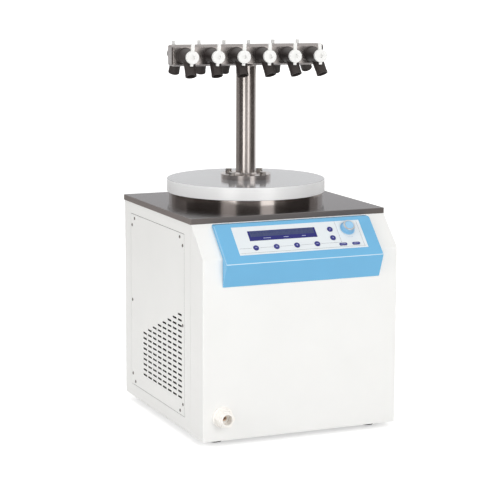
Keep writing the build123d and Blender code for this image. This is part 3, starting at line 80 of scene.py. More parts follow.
camera_data = bpy.data.cameras.new("camera")
camera_data.lens = CAMERA_LENS
camera_data.sensor_width = SENSOR_WIDTH
camera_data.clip_end = CLIP_END
camera = bpy.data.objects.new("camera", camera_data)
camera.matrix_world = Matrix.Translation(CAMERA_PLACE) @ Matrix(
    (camera_right, camera_up, -forward)
).transposed().to_4x4()
bpy.context.scene.collection.objects.link(camera)
bpy.context.scene.camera = camera
bpy.context.scene.view_settings.view_transform = "Standard"


# ---------------------------------------------------------------- helpers
NOISE_LOW, NOISE_HIGH = 0.3, 0.7  # most values of a noise lie between these
TOP_STARTS, TOP_WHOLE = 0.45, 0.85  # a normal's z that is barely a top's, and wholly
CLOUD_SCALE = 9.0
METAL_CLOUD_SCALE = 14.0
SKIN_GRAIN = 900.0
SKIN_ROUGHNESS = 0.03
SKIN_DEPTH = 0.0002
BRUSH_DEPTH = 0.00005
PATCH_SMOOTHER, PATCH_ROUGHER = 0.8, 1.25
LATHE_DEPTH = 0.00002
LATHE_GRAIN = 400.0
RING_SMOOTHER, RING_ROUGHER = 0.92, 1.08
# how much fine lines change the colour of ground sides, and how many times that on a top
GROUND_VARIATION = 0.02
TOP_CONTRAST = 1.5


def link(name, mesh):
    """A new object with that mesh, in the scene."""
    made = bpy.data.objects.new(name, mesh)
    bpy.context.scene.collection.objects.link(made)
    return made


def from_bmesh(name, bm, smooth_angle=None):
    """An object from a bmesh; faces that meet flatter than the angle are smooth."""
    mesh = bpy.data.meshes.new(name)
    bm.to_mesh(mesh)
    bm.free()
    made = link(name, mesh)
    if smooth_angle is not None:
        mesh.shade_smooth()
        mesh.set_sharp_from_angle(angle=math.radians(smooth_angle))
    return made


def piece(obj, material, body="machine"):
    """Gives a new piece its material and its body."""
    obj.data.materials.append(material)
    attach(obj, body)


def node_in(tree, kind, **settings):
    """A shader node; settings name its properties, or its inputs with spaces as underscores."""
    made = tree.nodes.new(kind)
    for key, value in settings.items():
        if hasattr(made, key):
            setattr(made, key, value)
        else:
            made.inputs[key.replace("_", " ")].default_value = value
    return made


def new_material(name, color, metallic=0.0, roughness=0.5, **shader_inputs):
    """A material with a Principled shader set to constants, and its tree and shader."""
    made = bpy.data.materials.new(name)
    made.use_nodes = True
    tree = made.node_tree
    shader = tree.nodes["Principled BSDF"]
    shader.inputs["Base Color"].default_value = (*color, 1.0)
    shader.inputs["Metallic"].default_value = metallic
    shader.inputs["Roughness"].default_value = roughness
    for key, value in shader_inputs.items():
        shader.inputs[key.replace("_", " ")].default_value = value
    return made, tree, shader


def object_noise(tree, scale, stretch=(1, 1, 1), detail=3.0, rough=0.55):
    """Noise over the object's own coordinates, in waves per metre, stretched by axis."""
    place = tree.nodes.new("ShaderNodeTexCoord")
    mapping = node_in(tree, "ShaderNodeMapping")
    mapping.inputs["Scale"].default_value = stretch
    noise = node_in(tree, "ShaderNodeTexNoise", Scale=scale, Detail=detail, Roughness=rough)
    tree.links.new(place.outputs["Object"], mapping.inputs["Vector"])
    tree.links.new(mapping.outputs["Vector"], noise.inputs["Vector"])
    return noise.outputs["Fac"]


def ramp(tree, value, start, end, first=0.0, last=1.0, smooth=False):
    """A value that goes from first to last while another goes from start to end."""
    kind = "SMOOTHSTEP" if smooth else "LINEAR"
    remap = node_in(tree, "ShaderNodeMapRange", interpolation_type=kind)
    limits = {"From Min": start, "From Max": end, "To Min": first, "To Max": last}
    for label, number in limits.items():
        remap.inputs[label].default_value = number
    tree.links.new(value, remap.inputs["Value"])
    return remap.outputs["Result"]


def spread(tree, noise, low, high):
    """A range over the middle of a noise, where most of its values are."""
    return ramp(tree, noise, NOISE_LOW, NOISE_HIGH, low, high)


def between(tree, factor, low, high):
    """A value from one number to another, by a factor of 0 to 1."""
    return ramp(tree, factor, 0.0, 1.0, low, high)


def maths(tree, operation, first, second=0.0):
    """What an operation makes of a socket and a number, or of two sockets."""
    made = node_in(tree, "ShaderNodeMath", operation=operation)
    for socket, value in zip(made.inputs, (first, second)):
        if isinstance(value, float):
            socket.default_value = value
        else:
            tree.links.new(value, socket)
    return made.outputs["Value"]


def parts_of(tree, kind):
    """X, Y and Z of the object's own "Object" places or "Normal" directions."""
    place = tree.nodes.new("ShaderNodeTexCoord")
    parts = tree.nodes.new("ShaderNodeSeparateXYZ")
    tree.links.new(place.outputs[kind], parts.inputs["Vector"])
    return parts.outputs


def facing_up(tree):
    """1 where a surface faces up, 0 on its upright sides."""
    return ramp(tree, parts_of(tree, "Normal")["Z"], TOP_STARTS, TOP_WHOLE, smooth=True)


def color_mix(tree, factor, first, second):
    """A colour between two colours or colour sockets."""
    mix = node_in(tree, "ShaderNodeMix", data_type="RGBA")
    sockets = [socket for socket in mix.inputs if socket.type == "RGBA"]
    for socket, value in zip(sockets, (first, second)):
        if isinstance(value, tuple):
            socket.default_value = (*value, 1.0)
        else:
            tree.links.new(value, socket)
    tree.links.new(factor, mix.inputs["Factor"])
    return [socket for socket in mix.outputs if socket.type == "RGBA"][0]


def bump(tree, shader, value, height, distance=SKIN_DEPTH):
    """A bump from a value; distance is in metres."""
    made = node_in(tree, "ShaderNodeBump", Strength=height, Distance=distance)
    tree.links.new(value, made.inputs["Height"])
    tree.links.new(made.outputs["Normal"], shader.inputs["Normal"])


def shaded(color, factor):
    """A colour made darker or lighter."""
    return tuple(min(1.0, channel * factor) for channel in color)


def varied(tree, value, color, variation):
    """A colour that a value makes a little darker or lighter."""
    return color_mix(tree, value, shaded(color, 1 - variation), shaded(color, 1 + variation))


def cloudy(tree, color, variation):
    """A colour with large, faint clouds."""
    return varied(tree, spread(tree, object_noise(tree, CLOUD_SCALE), 0.0, 1.0), color, variation)


def add_skin(tree, shader, roughness, height, grain=SKIN_GRAIN):
    """The fine skin of paint or moulded plastic, in roughness and in height."""
    skin = object_noise(tree, grain, detail=2.0)
    rough = spread(tree, skin, roughness - SKIN_ROUGHNESS, roughness + SKIN_ROUGHNESS)
    tree.links.new(rough, shader.inputs["Roughness"])
    bump(tree, shader, skin, height)


def coated(name, color, roughness, grain=SKIN_GRAIN, height=0.08, variation=0.03, **inputs):
    """Paint or moulded plastic: faint cloudiness and a fine skin."""
    made, tree, shader = new_material(name, color, roughness=roughness, **inputs)
    tree.links.new(cloudy(tree, color, variation), shader.inputs["Base Color"])
    add_skin(tree, shader, roughness, height, grain)
    return made


def brushed(name, color, roughness, stretch, grain=SKIN_GRAIN, height=0.06, variation=0.06):
    """Metal with fine lines along the axis that stretch makes long."""
    made, tree, shader = new_material(name, color, metallic=1.0, roughness=roughness)
    lines = object_noise(tree, grain, stretch=stretch, detail=4.0, rough=0.7)
    tree.links.new(varied(tree, lines, color, variation), shader.inputs["Base Color"])
    cloud = object_noise(tree, METAL_CLOUD_SCALE, detail=4.0)
    rough = spread(tree, cloud, roughness * PATCH_SMOOTHER, roughness * PATCH_ROUGHER)
    tree.links.new(rough, shader.inputs["Roughness"])
    bump(tree, shader, lines, height, distance=BRUSH_DEPTH)
    return made


def lathe_lines(tree):
    """Fine rings about the lid's upright axis, as a tool leaves them, and the way outwards."""
    place = tree.nodes.new("ShaderNodeTexCoord")
    shifted = node_in(tree, "ShaderNodeVectorMath", operation="SUBTRACT")
    shifted.inputs[1].default_value = turning_center
    flat = node_in(tree, "ShaderNodeVectorMath", operation="MULTIPLY")
    flat.inputs[1].default_value = (1.0, 1.0, 0.0)
    radius = node_in(tree, "ShaderNodeVectorMath", operation="LENGTH")
    height_of = tree.nodes.new("ShaderNodeSeparateXYZ")
    profile = tree.nodes.new("ShaderNodeCombineXYZ")
    lines = node_in(tree, "ShaderNodeTexNoise", Scale=LATHE_GRAIN, Detail=2.0, Roughness=0.6)
    tree.links.new(place.outputs["Object"], shifted.inputs[0])
    tree.links.new(shifted.outputs["Vector"], flat.inputs[0])
    tree.links.new(flat.outputs["Vector"], radius.inputs[0])
    tree.links.new(shifted.outputs["Vector"], height_of.inputs["Vector"])
    tree.links.new(radius.outputs["Value"], profile.inputs["X"])
    tree.links.new(height_of.outputs["Z"], profile.inputs["Y"])
    tree.links.new(profile.outputs["Vector"], lines.inputs["Vector"])
    return lines.outputs["Fac"], flat.outputs["Vector"]


def turned(name, color, roughness, anisotropy):
    """Metal finished on a lathe, about the lid's upright axis: its fine lines run round."""
    made, tree, shader = new_material(
        name, color, metallic=1.0, roughness=roughness, Anisotropic=anisotropy
    )
    lines, outward = lathe_lines(tree)
    tree.links.new(varied(tree, lines, color, variation=0.03), shader.inputs["Base Color"])
    rough = spread(tree, lines, roughness * RING_SMOOTHER, roughness * RING_ROUGHER)
    tree.links.new(rough, shader.inputs["Roughness"])
    bump(tree, shader, lines, height=0.02, distance=LATHE_DEPTH)
    # the tangent runs round the axis, so highlights spread across the lines
    around_axis = node_in(tree, "ShaderNodeVectorMath", operation="CROSS_PRODUCT")
    around_axis.inputs[1].default_value = (0.0, 0.0, 1.0)
    tree.links.new(outward, around_axis.inputs[0])
    tree.links.new(around_axis.outputs["Vector"], shader.inputs["Tangent"])
    return made


def faced(name, top, front, flank, metallic, roughness, lines_of, **inputs):
    """Metal whose ground top and matt upright sides differ, with fine lines in both; their colours also hold
    painted shade and painted reflection.

    front is the colour of sides that face along y, and flank of those that face along x; a front darker than a
    flank is painted shade.
    metallic and roughness are pairs: on the top, on the sides.
    """
    made, tree, shader = new_material(name, top, **inputs)
    up = facing_up(tree)
    sideways = maths(tree, "ABSOLUTE", parts_of(tree, "Normal")["X"])
    light, dark = (
        color_mix(
            tree,
            up,
            color_mix(tree, sideways, shaded(front, 1 + change), shaded(flank, 1 + change)),
            shaded(top, 1 + TOP_CONTRAST * change),
        )
        for change in (GROUND_VARIATION, -GROUND_VARIATION)
    )
    tree.links.new(color_mix(tree, lines_of(tree), dark, light), shader.inputs["Base Color"])
    for label, (on_top, on_sides) in (("Metallic", metallic), ("Roughness", roughness)):
        tree.links.new(between(tree, up, on_sides, on_top), shader.inputs[label])
    return made


# a normal's z where the console's upright front ends, and where its slope begins; the painted highlight lies
# between
KNEE_STARTS, KNEE_WHOLE = 0.04, 0.2
SLOPE_NEARS, SLOPE_STARTS = 0.52, 0.66


def painted_knee_highlight(name, color, highlight_color, roughness):
    """Moulded plastic with a painted highlight: paler where it rounds from its upright front into its slope, on
    faces towards the front.
    """
    made, tree, shader = new_material(
        name, color, roughness=roughness, Coat_Weight=0.5, Coat_Roughness=0.12
    )
    normal = parts_of(tree, "Normal")
    leaves_upright = ramp(tree, normal["Z"], KNEE_STARTS, KNEE_WHOLE, smooth=True)
    before_slope = ramp(tree, normal["Z"], SLOPE_NEARS, SLOPE_STARTS, 1.0, 0.0, smooth=True)
    in_front = maths(tree, "MAXIMUM", maths(tree, "MULTIPLY", normal["Y"], -1.0), 0.0)
    on_knee = maths(tree, "MULTIPLY", leaves_upright, before_slope)
    # the painted highlight: the knee's faces that turn to the front
    highlight_mask = maths(tree, "MULTIPLY", on_knee, in_front)
    plastic = cloudy(tree, color, variation=0.015)
    tree.links.new(color_mix(tree, highlight_mask, plastic, highlight_color), shader.inputs["Base Color"])
    add_skin(tree, shader, roughness, height=0.02)
    return made


def sheet_paint(name, color, roughness, half_width, back, edge):
    """Paint on the outer faces of sheet metal; its edges, inner faces and slot walls get a near-black painted
    shade.

    Paint is where |x| passes half_width or y passes back, both just behind the outer faces.
    """
    made, tree, shader = new_material(name, color, roughness=roughness)
    place = parts_of(tree, "Object")
    beside = maths(tree, "GREATER_THAN", maths(tree, "ABSOLUTE", place["X"]), half_width)
    behind = maths(tree, "GREATER_THAN", place["Y"], back)
    outer = maths(tree, "MAXIMUM", beside, behind)
    painted = cloudy(tree, color, variation=0.01)
    tree.links.new(color_mix(tree, outer, edge, painted), shader.inputs["Base Color"])
    add_skin(tree, shader, roughness, height=0.08)
    return made


# ---------------------------------------------------------------- studio
WHITE = (1.0, 1.0, 1.0, 1.0)
# colour and strength of the world, as it lights surfaces and as metal mirrors it
AMBIENT_COLOR, AMBIENT_STRENGTH = (1.0, 0.99, 0.975, 1.0), 0.5
MIRRORED_COLOR, MIRRORED_STRENGTH = (1.0, 0.985, 0.97, 1.0), 0.8

world = bpy.data.worlds.new("studio")
world.use_nodes = True
bpy.context.scene.world = world
world_tree = world.node_tree


def background(node, color, strength):
    """Sets a background's colour and strength, and gives its output."""
    node.inputs["Color"].default_value = color
    node.inputs["Strength"].default_value = strength
    return node.outputs["Background"]


def shader_mix(factor, first, second):
    """The world's light between two of its shaders."""
    mix = world_tree.nodes.new("ShaderNodeMixShader")
    for number, socket in enumerate((factor, first, second)):
        world_tree.links.new(socket, mix.inputs[number])
    return mix.outputs["Shader"]


ambient = background(world_tree.nodes["Background"], AMBIENT_COLOR, AMBIENT_STRENGTH)
seen = background(world_tree.nodes.new("ShaderNodeBackground"), WHITE, 1.0)
mirrored = background(
    world_tree.nodes.new("ShaderNodeBackground"), MIRRORED_COLOR, MIRRORED_STRENGTH
)
rays = world_tree.nodes.new("ShaderNodeLightPath").outputs
clear_rays = maths(world_tree, "MAXIMUM", rays["Is Camera Ray"], rays["Is Transmission Ray"])
unseen = shader_mix(rays["Is Glossy Ray"], ambient, mirrored)
world_tree.links.new(
    shader_mix(clear_rays, unseen, seen), world_tree.nodes["World Output"].inputs["Surface"]
)

FLOOR_HALF = 60.0
FLOOR_CELLS = 8
# how far from the machine the floor starts to fade into the pale background, and where it has
FADE_NEAR, FADE_FAR = 0.8, 7.0
GLOW_NEAR, GLOW_FAR = 0.47, 1.0

floor_bm = bmesh.new()
bmesh.ops.create_grid(floor_bm, x_segments=FLOOR_CELLS, y_segments=FLOOR_CELLS, size=FLOOR_HALF)
floor = from_bmesh("studio_floor", floor_bm)
floor_material, floor_tree, floor_shader = new_material(
    "studio_floor",
    (0.86, 0.86, 0.86),
    roughness=0.9,
    Emission_Color=WHITE,
    Specular_IOR_Level=0.1,
)
floor_place = floor_tree.nodes.new("ShaderNodeTexCoord")
floor_reach = node_in(floor_tree, "ShaderNodeVectorMath", operation="LENGTH")
floor_tree.links.new(floor_place.outputs["Object"], floor_reach.inputs[0])
floor_fade = ramp(
    floor_tree, floor_reach.outputs["Value"], FADE_NEAR, FADE_FAR, GLOW_NEAR, GLOW_FAR, smooth=True
)
floor_rays = floor_tree.nodes.new("ShaderNodeLightPath")
floor_glow = maths(floor_tree, "MULTIPLY", floor_rays.outputs["Is Camera Ray"], floor_fade)
floor_tree.links.new(floor_glow, floor_shader.inputs["Emission Strength"])
floor.data.materials.append(floor_material)


def softbox(name, place, target, size, power):
    """An area lamp that looks at a target and shows neither to the camera nor in mirrors."""
    data = bpy.data.lights.new(name, "AREA")
    data.shape = "RECTANGLE"
    data.size, data.size_y = size
    data.energy = power
    made = bpy.data.objects.new(name, data)
    aim = (Vector(target) - Vector(place)).to_track_quat("-Z", "Y")
    made.matrix_world = Matrix.Translation(place) @ aim.to_matrix().to_4x4()
    made.visible_camera = False
    made.visible_glossy = False
    bpy.context.scene.collection.objects.link(made)


def around(azimuth, distance, height):
    """A place round the machine: azimuth 0 is in front, on -Y, and 90 is on +X."""
    angle = math.radians(azimuth)
    return Vector((distance * math.sin(angle), -distance * math.cos(angle), height))


MIDDLE = (0.0, 0.0, 0.42)
# each lamp: its place, its width and height, and its power in watts
LAMPS = {
    "key": (around(8, 3.2, 1.5), (2.0, 1.6), 40.0),
    "fill": (around(-76, 3.0, 1.3), (2.0, 1.8), 29.0),
    "top": ((0.0, 0.3, 2.9), (2.4, 2.4), 11.0),
    "back": (around(165, 2.8, 1.6), (2.2, 1.6), 26.0),
}
for name, (place, size, power) in LAMPS.items():
    softbox(name, place, MIDDLE, size, power)

# panels that only polished metal mirrors, like the flags and softboxes of a product studio
PANEL_DISTANCE = 1.9
PANEL_STEP = 3  # degrees
PANEL_TONES = {
    "black": (0.052, 0.042, 0.038),
    "low": (0.11, 0.1, 0.095),
    "soft": (0.32, 0.3, 0.29),
    "dim": (0.42, 0.395, 0.38),
    "shade": (0.44, 0.415, 0.4),
    "half": (0.57, 0.54, 0.52),
    "pale": (0.76, 0.72, 0.69),
    "middle": (0.8, 0.8, 0.805),
    "bright": (1.5, 1.46, 1.42),
    "lamp": (2.2, 2.15, 2.08),
}
# each row of panels: its foot and head, then first azimuth, last azimuth and tone
PANEL_ROWS = {
    "ring": (
        0.01,
        0.27,
        [
            (-150, -59, "black"),
            (-59, -37.5, "bright"),
            (-37.5, -2, "black"),
            (-2, 18, "bright"),
            (18, 80, "black"),
            (80, 95, "low"),
            (95, 110, "dim"),
            (110, 190, "shade"),
            (190, 210, "low"),
        ],
    ),
    "column": (
        0.27,
        0.62,
        [
            (-105, -57, "low"),
            (-57, -36, "lamp"),
            (-36, -3, "half"),
            (-3, 17, "bright"),
            (17, 36, "dim"),
            (36, 95, "low"),
            (95, 190, "middle"),
            (190, 255, "soft"),
        ],
    ),
    "mirror": (
        0.62,
        0.88,
        [
            (-150, -60, "black"),
            (-60, -38, "pale"),
            (-38, -2, "black"),
            (-2, 18, "bright"),
            (18, 85, "black"),
            (85, 110, "dim"),
            (110, 197, "middle"),
            (197, 240, "dim"),
        ],
    ),
    "crown": (
        0.88,
        1.15,
        [
            (-150, -60, "black"),
            (-60, -38, "pale"),
            (-38, -2, "black"),
            (-2, 18, "bright"),
            (18, 85, "black"),
            (85, 240, "dim"),
        ],
    ),
}


def panel(label, first, last, foot, head, tone):
    """An upright arc of wall that shows in mirrors alone."""
    bm = bmesh.new()
    steps = max(1, round((last - first) / PANEL_STEP))
    for count in range(steps):
        low = first + (last - first) * count / steps
        high = first + (last - first) * (count + 1) / steps
        corners = [
            around(low, PANEL_DISTANCE, foot),
            around(high, PANEL_DISTANCE, foot),
            around(high, PANEL_DISTANCE, head),
            around(low, PANEL_DISTANCE, head),
        ]
        bm.faces.new([bm.verts.new(corner) for corner in corners])
    made = from_bmesh(f"studio_panel_{label}", bm)
    material, _, _ = new_material(
        f"studio_panel_{label}",
        (0, 0, 0),
        roughness=1.0,
        Specular_IOR_Level=0.0,
        Emission_Color=(*PANEL_TONES[tone], 1.0),
        Emission_Strength=1.0,
    )
    made.data.materials.append(material)
    made.visible_camera = False
    made.visible_diffuse = False
    made.visible_shadow = False
    made.visible_transmission = False


for row, (foot, head, panels) in PANEL_ROWS.items():
    for number, (first, last, tone) in enumerate(panels):
        panel(f"{row}_{number}", first, last, foot, head, tone)

# ---------------------------------------------------------------- materials of the CAD nodes
CABINET_WHITE = (0.92, 0.92, 0.905)
CABINET_ROUGHNESS = 0.42
# near black on the panels' edges, inner faces and slot walls: painted shade in the gaps and slots
EDGE_SHADE = (0.05, 0.045, 0.04)
EDGE_DEPTH = 0.0002
GRIND_SCALE = 400.0
# how brushed lines stretch along an axis, or not at all
ALONG_X, ALONG_Y, ALONG_Z = (0.03, 1.0, 1.0), (1.0, 0.05, 1.0), (1.0, 1.0, 0.03)
GROUND_ALONG_X = (0.02, 1.0, 1.0)
EVEN = (1.0, 1.0, 1.0)

# each call gives the name, the colour, the roughness, and what differs from its defaults
cabinet_paint = coated("cabinet_paint", CABINET_WHITE, CABINET_ROUGHNESS, variation=0.01)
panel_paint = sheet_paint(
    "panel_paint",
    CABINET_WHITE,
    CABINET_ROUGHNESS,
    abs(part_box("left_panel")[0].x) - EDGE_DEPTH,
    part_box("rear_panel")[1].y - EDGE_DEPTH,
    EDGE_SHADE,
)
# the worktop's dark matt sides, with the front darker than the flank, are partly duller edges and partly painted
# shade
worktop_steel = faced(
    "worktop_steel",
    (0.4, 0.395, 0.4),
    (0.13, 0.114, 0.108),
    (0.22, 0.194, 0.186),
    (1.0, 0.05),
    (0.17, 0.35),
    lambda tree: object_noise(tree, GRIND_SCALE, stretch=GROUND_ALONG_X, rough=0.7),
    Specular_Tint=(0.64, 0.63, 0.635, 1.0),
)
chamber_steel = turned("chamber_steel", (0.57, 0.53, 0.51), 0.13, 0.3)
# the lid's near-white, nearly matt sides are painted reflection of the lamps and the floor on turned metal
lid_aluminium = faced(
    "lid_aluminium",
    (0.6, 0.612, 0.635),
    (0.93, 0.935, 0.94),
    (0.93, 0.935, 0.94),
    (0.5, 0.12),
    (0.14, 0.3),
    lambda tree: lathe_lines(tree)[0],
)
column_steel = brushed("column_steel", (0.64, 0.60, 0.58), 0.2, ALONG_Z, height=0.006)
manifold_steel = brushed("manifold_steel", (0.46, 0.43, 0.42), 0.24, ALONG_X, height=0.02)
bolt_steel = brushed("bolt_steel", (0.72, 0.69, 0.66), 0.2, EVEN, grain=1500)
screw_steel = coated("screw_steel", (0.2, 0.18, 0.17), 0.35, grain=2500, Metallic=0.3)
pipe_steel = brushed("pipe_steel", (0.55, 0.55, 0.55), 0.25, ALONG_Y)
valve_rubber = coated(
    "valve_rubber", (0.037, 0.029, 0.027), 0.5, grain=1400, height=0.2, variation=0.15
)
seal_rubber = coated("seal_rubber", (0.02, 0.02, 0.02), 0.6)
foot_rubber = coated("foot_rubber", (0.03, 0.03, 0.03), 0.7)
handle_plastic = coated("handle_plastic", (0.9, 0.9, 0.885), 0.3, variation=0.01)
# the pale blue is a painted highlight along the console's knee
console_plastic = painted_knee_highlight(
    "console_plastic", (0.155, 0.475, 0.765), (0.72, 0.88, 0.96), 0.24
)
overlay_film = coated("overlay_film", (0.80, 0.85, 0.88), 0.42, variation=0.01)
display = coated(
    "display",
    (0.028, 0.03, 0.19),
    0.14,
    grain=300,
    height=0.0,
    variation=0.05,
    Specular_IOR_Level=0.25,
)
key_plastic = coated("key_plastic", (0.03, 0.032, 0.22), 0.35)
dial_plastic = coated("dial_plastic", (0.24, 0.52, 0.78), 0.3)
dial_cap_plastic = coated("dial_cap_plastic", (0.33, 0.6, 0.85), 0.25)
dial_chrome = brushed("dial_chrome", (0.8, 0.8, 0.81), 0.3, EVEN, grain=1200, height=0.02)
fitting_plastic = coated("fitting_plastic", (1.0, 0.97, 0.93), 0.36, variation=0.01)
hose_plastic = coated("hose_plastic", (0.82, 0.62, 0.48), 0.45)
inlet_plastic = coated("inlet_plastic", (0.02, 0.02, 0.02), 0.45)
rocker_plastic = coated("rocker_plastic", (0.03, 0.03, 0.03), 0.3)
foam = coated("foam", (0.72, 0.62, 0.36), 0.9, grain=400, height=0.5, variation=0.08)
copper = brushed("copper", (0.75, 0.38, 0.24), 0.32, EVEN, variation=0.12)
board_green = coated("board_green", (0.02, 0.16, 0.06), 0.4)
compressor_paint = coated("compressor_paint", (0.02, 0.02, 0.02), 0.35)
fin_aluminium = coated("fin_aluminium", (0.03, 0.03, 0.032), 0.5, variation=0.1)
galvanized = brushed("galvanized", (0.55, 0.57, 0.58), 0.4, EVEN, grain=120, variation=0.12)
motor_paint = coated("motor_paint", (0.06, 0.06, 0.065), 0.45)
fan_plastic = coated("fan_plastic", (0.04, 0.04, 0.045), 0.4)
CAD_SMOOTH_ANGLE = 35

# what each material slot of the record gets, and the nodes that differ from their slot
by_slot = {
    "cabinet_paint": cabinet_paint,
    "worktop_steel": worktop_steel,
    "screw_steel": screw_steel,
    "foot_rubber": foot_rubber,
    "chamber_steel": chamber_steel,
    "seal_rubber": seal_rubber,
    "foam": foam,
    "copper": copper,
    "lid_aluminium": lid_aluminium,
    "column_steel": column_steel,
    "bolt_steel": bolt_steel,
    "manifold_steel": manifold_steel,
    "valve_rubber": valve_rubber,
    "handle_plastic": handle_plastic,
    "console_plastic": console_plastic,
    "overlay_film": overlay_film,
    "display": display,
    "board_green": board_green,
    "key_plastic": key_plastic,
    "encoder_steel": pipe_steel,
    "dial_plastic": dial_plastic,
    "dial_chrome": dial_chrome,
    "fitting_plastic": fitting_plastic,
    "hose_plastic": hose_plastic,
    "pipe_steel": pipe_steel,
    "inlet_plastic": inlet_plastic,
    "rocker_plastic": rocker_plastic,
    "compressor_paint": compressor_paint,
    "fin_aluminium": fin_aluminium,
    "galvanized": galvanized,
    "motor_paint": motor_paint,
    "fan_plastic": fan_plastic,
}
by_node = {
    "dial_cap": dial_cap_plastic,
    "left_panel": panel_paint,
    "right_panel": panel_paint,
    "rear_panel": panel_paint,
}
slot_of = {part["node"]: part["material_slot"] for part in frame["record"]["subparts"]}
for name, node in nodes.items():
    material = by_node.get(name, by_slot[slot_of[name]])
    node.data.materials.clear()
    node.data.materials.append(material)
    node.data.shade_smooth()
    node.data.set_sharp_from_angle(angle=math.radians(CAD_SMOOTH_ANGLE))


# ---------------------------------------------------------------- shapes on the machine
def frame_matrix(origin, right, up, normal):
    """A matrix from local x, y and z to the row frame."""
    return Matrix.Translation(origin) @ Matrix((right, up, normal)).transposed().to_4x4()


def span(places):
    """Lowest and highest corner of some places."""
    low = Vector([min(place[axis] for place in places) for axis in range(3)])
    high = Vector([max(place[axis] for place in places) for axis in range(3)])
    return low, high


def local_box(name, matrix):
    """Lowest and highest corner of a CAD node in a local frame."""
    inverse = matrix.inverted()
    return span([inverse @ vertex.co for vertex in nodes[name].data.vertices])


# the console's sloped face: x to the right, y up the slope, z out of it, origin under the dial
dial_joint = next(joint for joint in frame["joints"] if joint["name"] == "dial_turn")
console_normal = Vector(dial_joint["axis"]).normalized()
console_right = Vector((1, 0, 0))
console_up = console_normal.cross(console_right)
console_matrix = frame_matrix(
    Vector(dial_joint["pos_m"]), console_right, console_up, console_normal
)


BOX_FACES = ((0, 1, 3, 2), (4, 6, 7, 5), (0, 4, 5, 1), (2, 3, 7, 6), (0, 2, 6, 4), (1, 5, 7, 3))
MERGE_DISTANCE = 1e-6


def add_box(bm, low, high, matrix=Matrix.Identity(4)):
    """A box between two corners of a local frame."""
    corners = [
        bm.verts.new(matrix @ Vector((x, y, z)))
        for x in (low[0], high[0])
        for y in (low[1], high[1])
        for z in (low[2], high[2])
    ]
    for face in BOX_FACES:
        bm.faces.new([corners[index] for index in face])


def circle_point(radius, angle, height):
    """A place on a level circle."""
    return Vector((radius * math.cos(angle), radius * math.sin(angle), height))


def add_lathe(bm, profile, steps):
    """A solid turned round z from (radius, height) points, the first and the last on the axis."""
    rings = []
    for radius, height in profile:
        count_here = steps if radius else 1
        rings.append(
            [
                bm.verts.new(circle_point(radius, 2 * math.pi * count / steps, height))
                for count in range(count_here)
            ]
        )
    for lower, upper in zip(rings, rings[1:]):
        for count in range(steps):
            after = (count + 1) % steps
            if len(lower) == 1:
                bm.faces.new((lower[0], upper[after], upper[count]))
            elif len(upper) == 1:
                bm.faces.new((lower[count], lower[after], upper[0]))
            else:
                bm.faces.new((lower[count], lower[after], upper[after], upper[count]))


def islands(name):
    """The vertex places of each separate solid of a CAD node."""
    bm = bmesh.new()
    bm.from_mesh(nodes[name].data)
    bmesh.ops.remove_doubles(bm, verts=bm.verts, dist=MERGE_DISTANCE)
    seen, groups = set(), []
    for start in bm.verts:
        if start in seen:
            continue
        seen.add(start)
        group, waiting = [], [start]
        while waiting:
            vertex = waiting.pop()
            group.append(vertex.co.copy())
            for edge in vertex.link_edges:
                other = edge.other_vert(vertex)
                if other not in seen:
                    seen.add(other)
                    waiting.append(other)
        groups.append(group)
    bm.free()
    return groups


# ---------------------------------------------------------------- screw heads of the panels
SCREW_RADIUS = 0.0030
SCREW_RISE = 0.0015
WASHER_RADIUS = 0.0036
WASHER_THICKNESS = 0.0004
CROSS_LENGTH = 0.0030
CROSS_WIDTH = 0.0007
CROSS_DEPTH = 0.0009
CROSS_STAGGER = 9e-6  # keeps the floors of the cross's two bars apart
HEAD_STEPS = 28
HEAD_ARC_STEP = 15  # degrees
HEAD_RIM_SHARE = 0.35  # how much of the head's rise its rim has
HEAD_SMOOTH_ANGLE = 40
SCREW_STOP_STEP = 37  # degrees from one screw's cross to the next one's


def screw_mesh():
    """A pan head with a cross recess on a washer, on local z, its seat at z = 0."""
    profile = [(0, 0), (WASHER_RADIUS, 0), (WASHER_RADIUS, WASHER_THICKNESS)]
    profile.append((SCREW_RADIUS, WASHER_THICKNESS))
    for angle in map(math.radians, range(HEAD_ARC_STEP, 90, HEAD_ARC_STEP)):
        share = HEAD_RIM_SHARE + (1 - HEAD_RIM_SHARE) * math.sin(angle)
        profile.append((SCREW_RADIUS * math.cos(angle), SCREW_RISE * share))
    profile.append((0, SCREW_RISE))
    bm = bmesh.new()
    add_lathe(bm, profile, HEAD_STEPS)
    head = from_bmesh("screw_head", bm)
    cutter_bm = bmesh.new()
    for degrees, lift in ((0, 0), (90, CROSS_STAGGER)):
        low = (-CROSS_LENGTH / 2, -CROSS_WIDTH / 2, SCREW_RISE - CROSS_DEPTH + lift)
        high = (CROSS_LENGTH / 2, CROSS_WIDTH / 2, 2 * SCREW_RISE)
        add_box(cutter_bm, low, high, Matrix.Rotation(math.radians(degrees), 4, "Z"))
    cutter = from_bmesh("screw_cross", cutter_bm)
    cut = head.modifiers.new("cross", "BOOLEAN")
    cut.operation = "DIFFERENCE"
    cut.solver = "EXACT"
    cut.use_self = True  # the two bars of the cross run through each other
    cut.object = cutter
    bpy.context.view_layer.update()
    graph = bpy.context.evaluated_depsgraph_get()
    mesh = bpy.data.meshes.new_from_object(head.evaluated_get(graph))
    bpy.data.objects.remove(head)
    bpy.data.objects.remove(cutter)
    return mesh


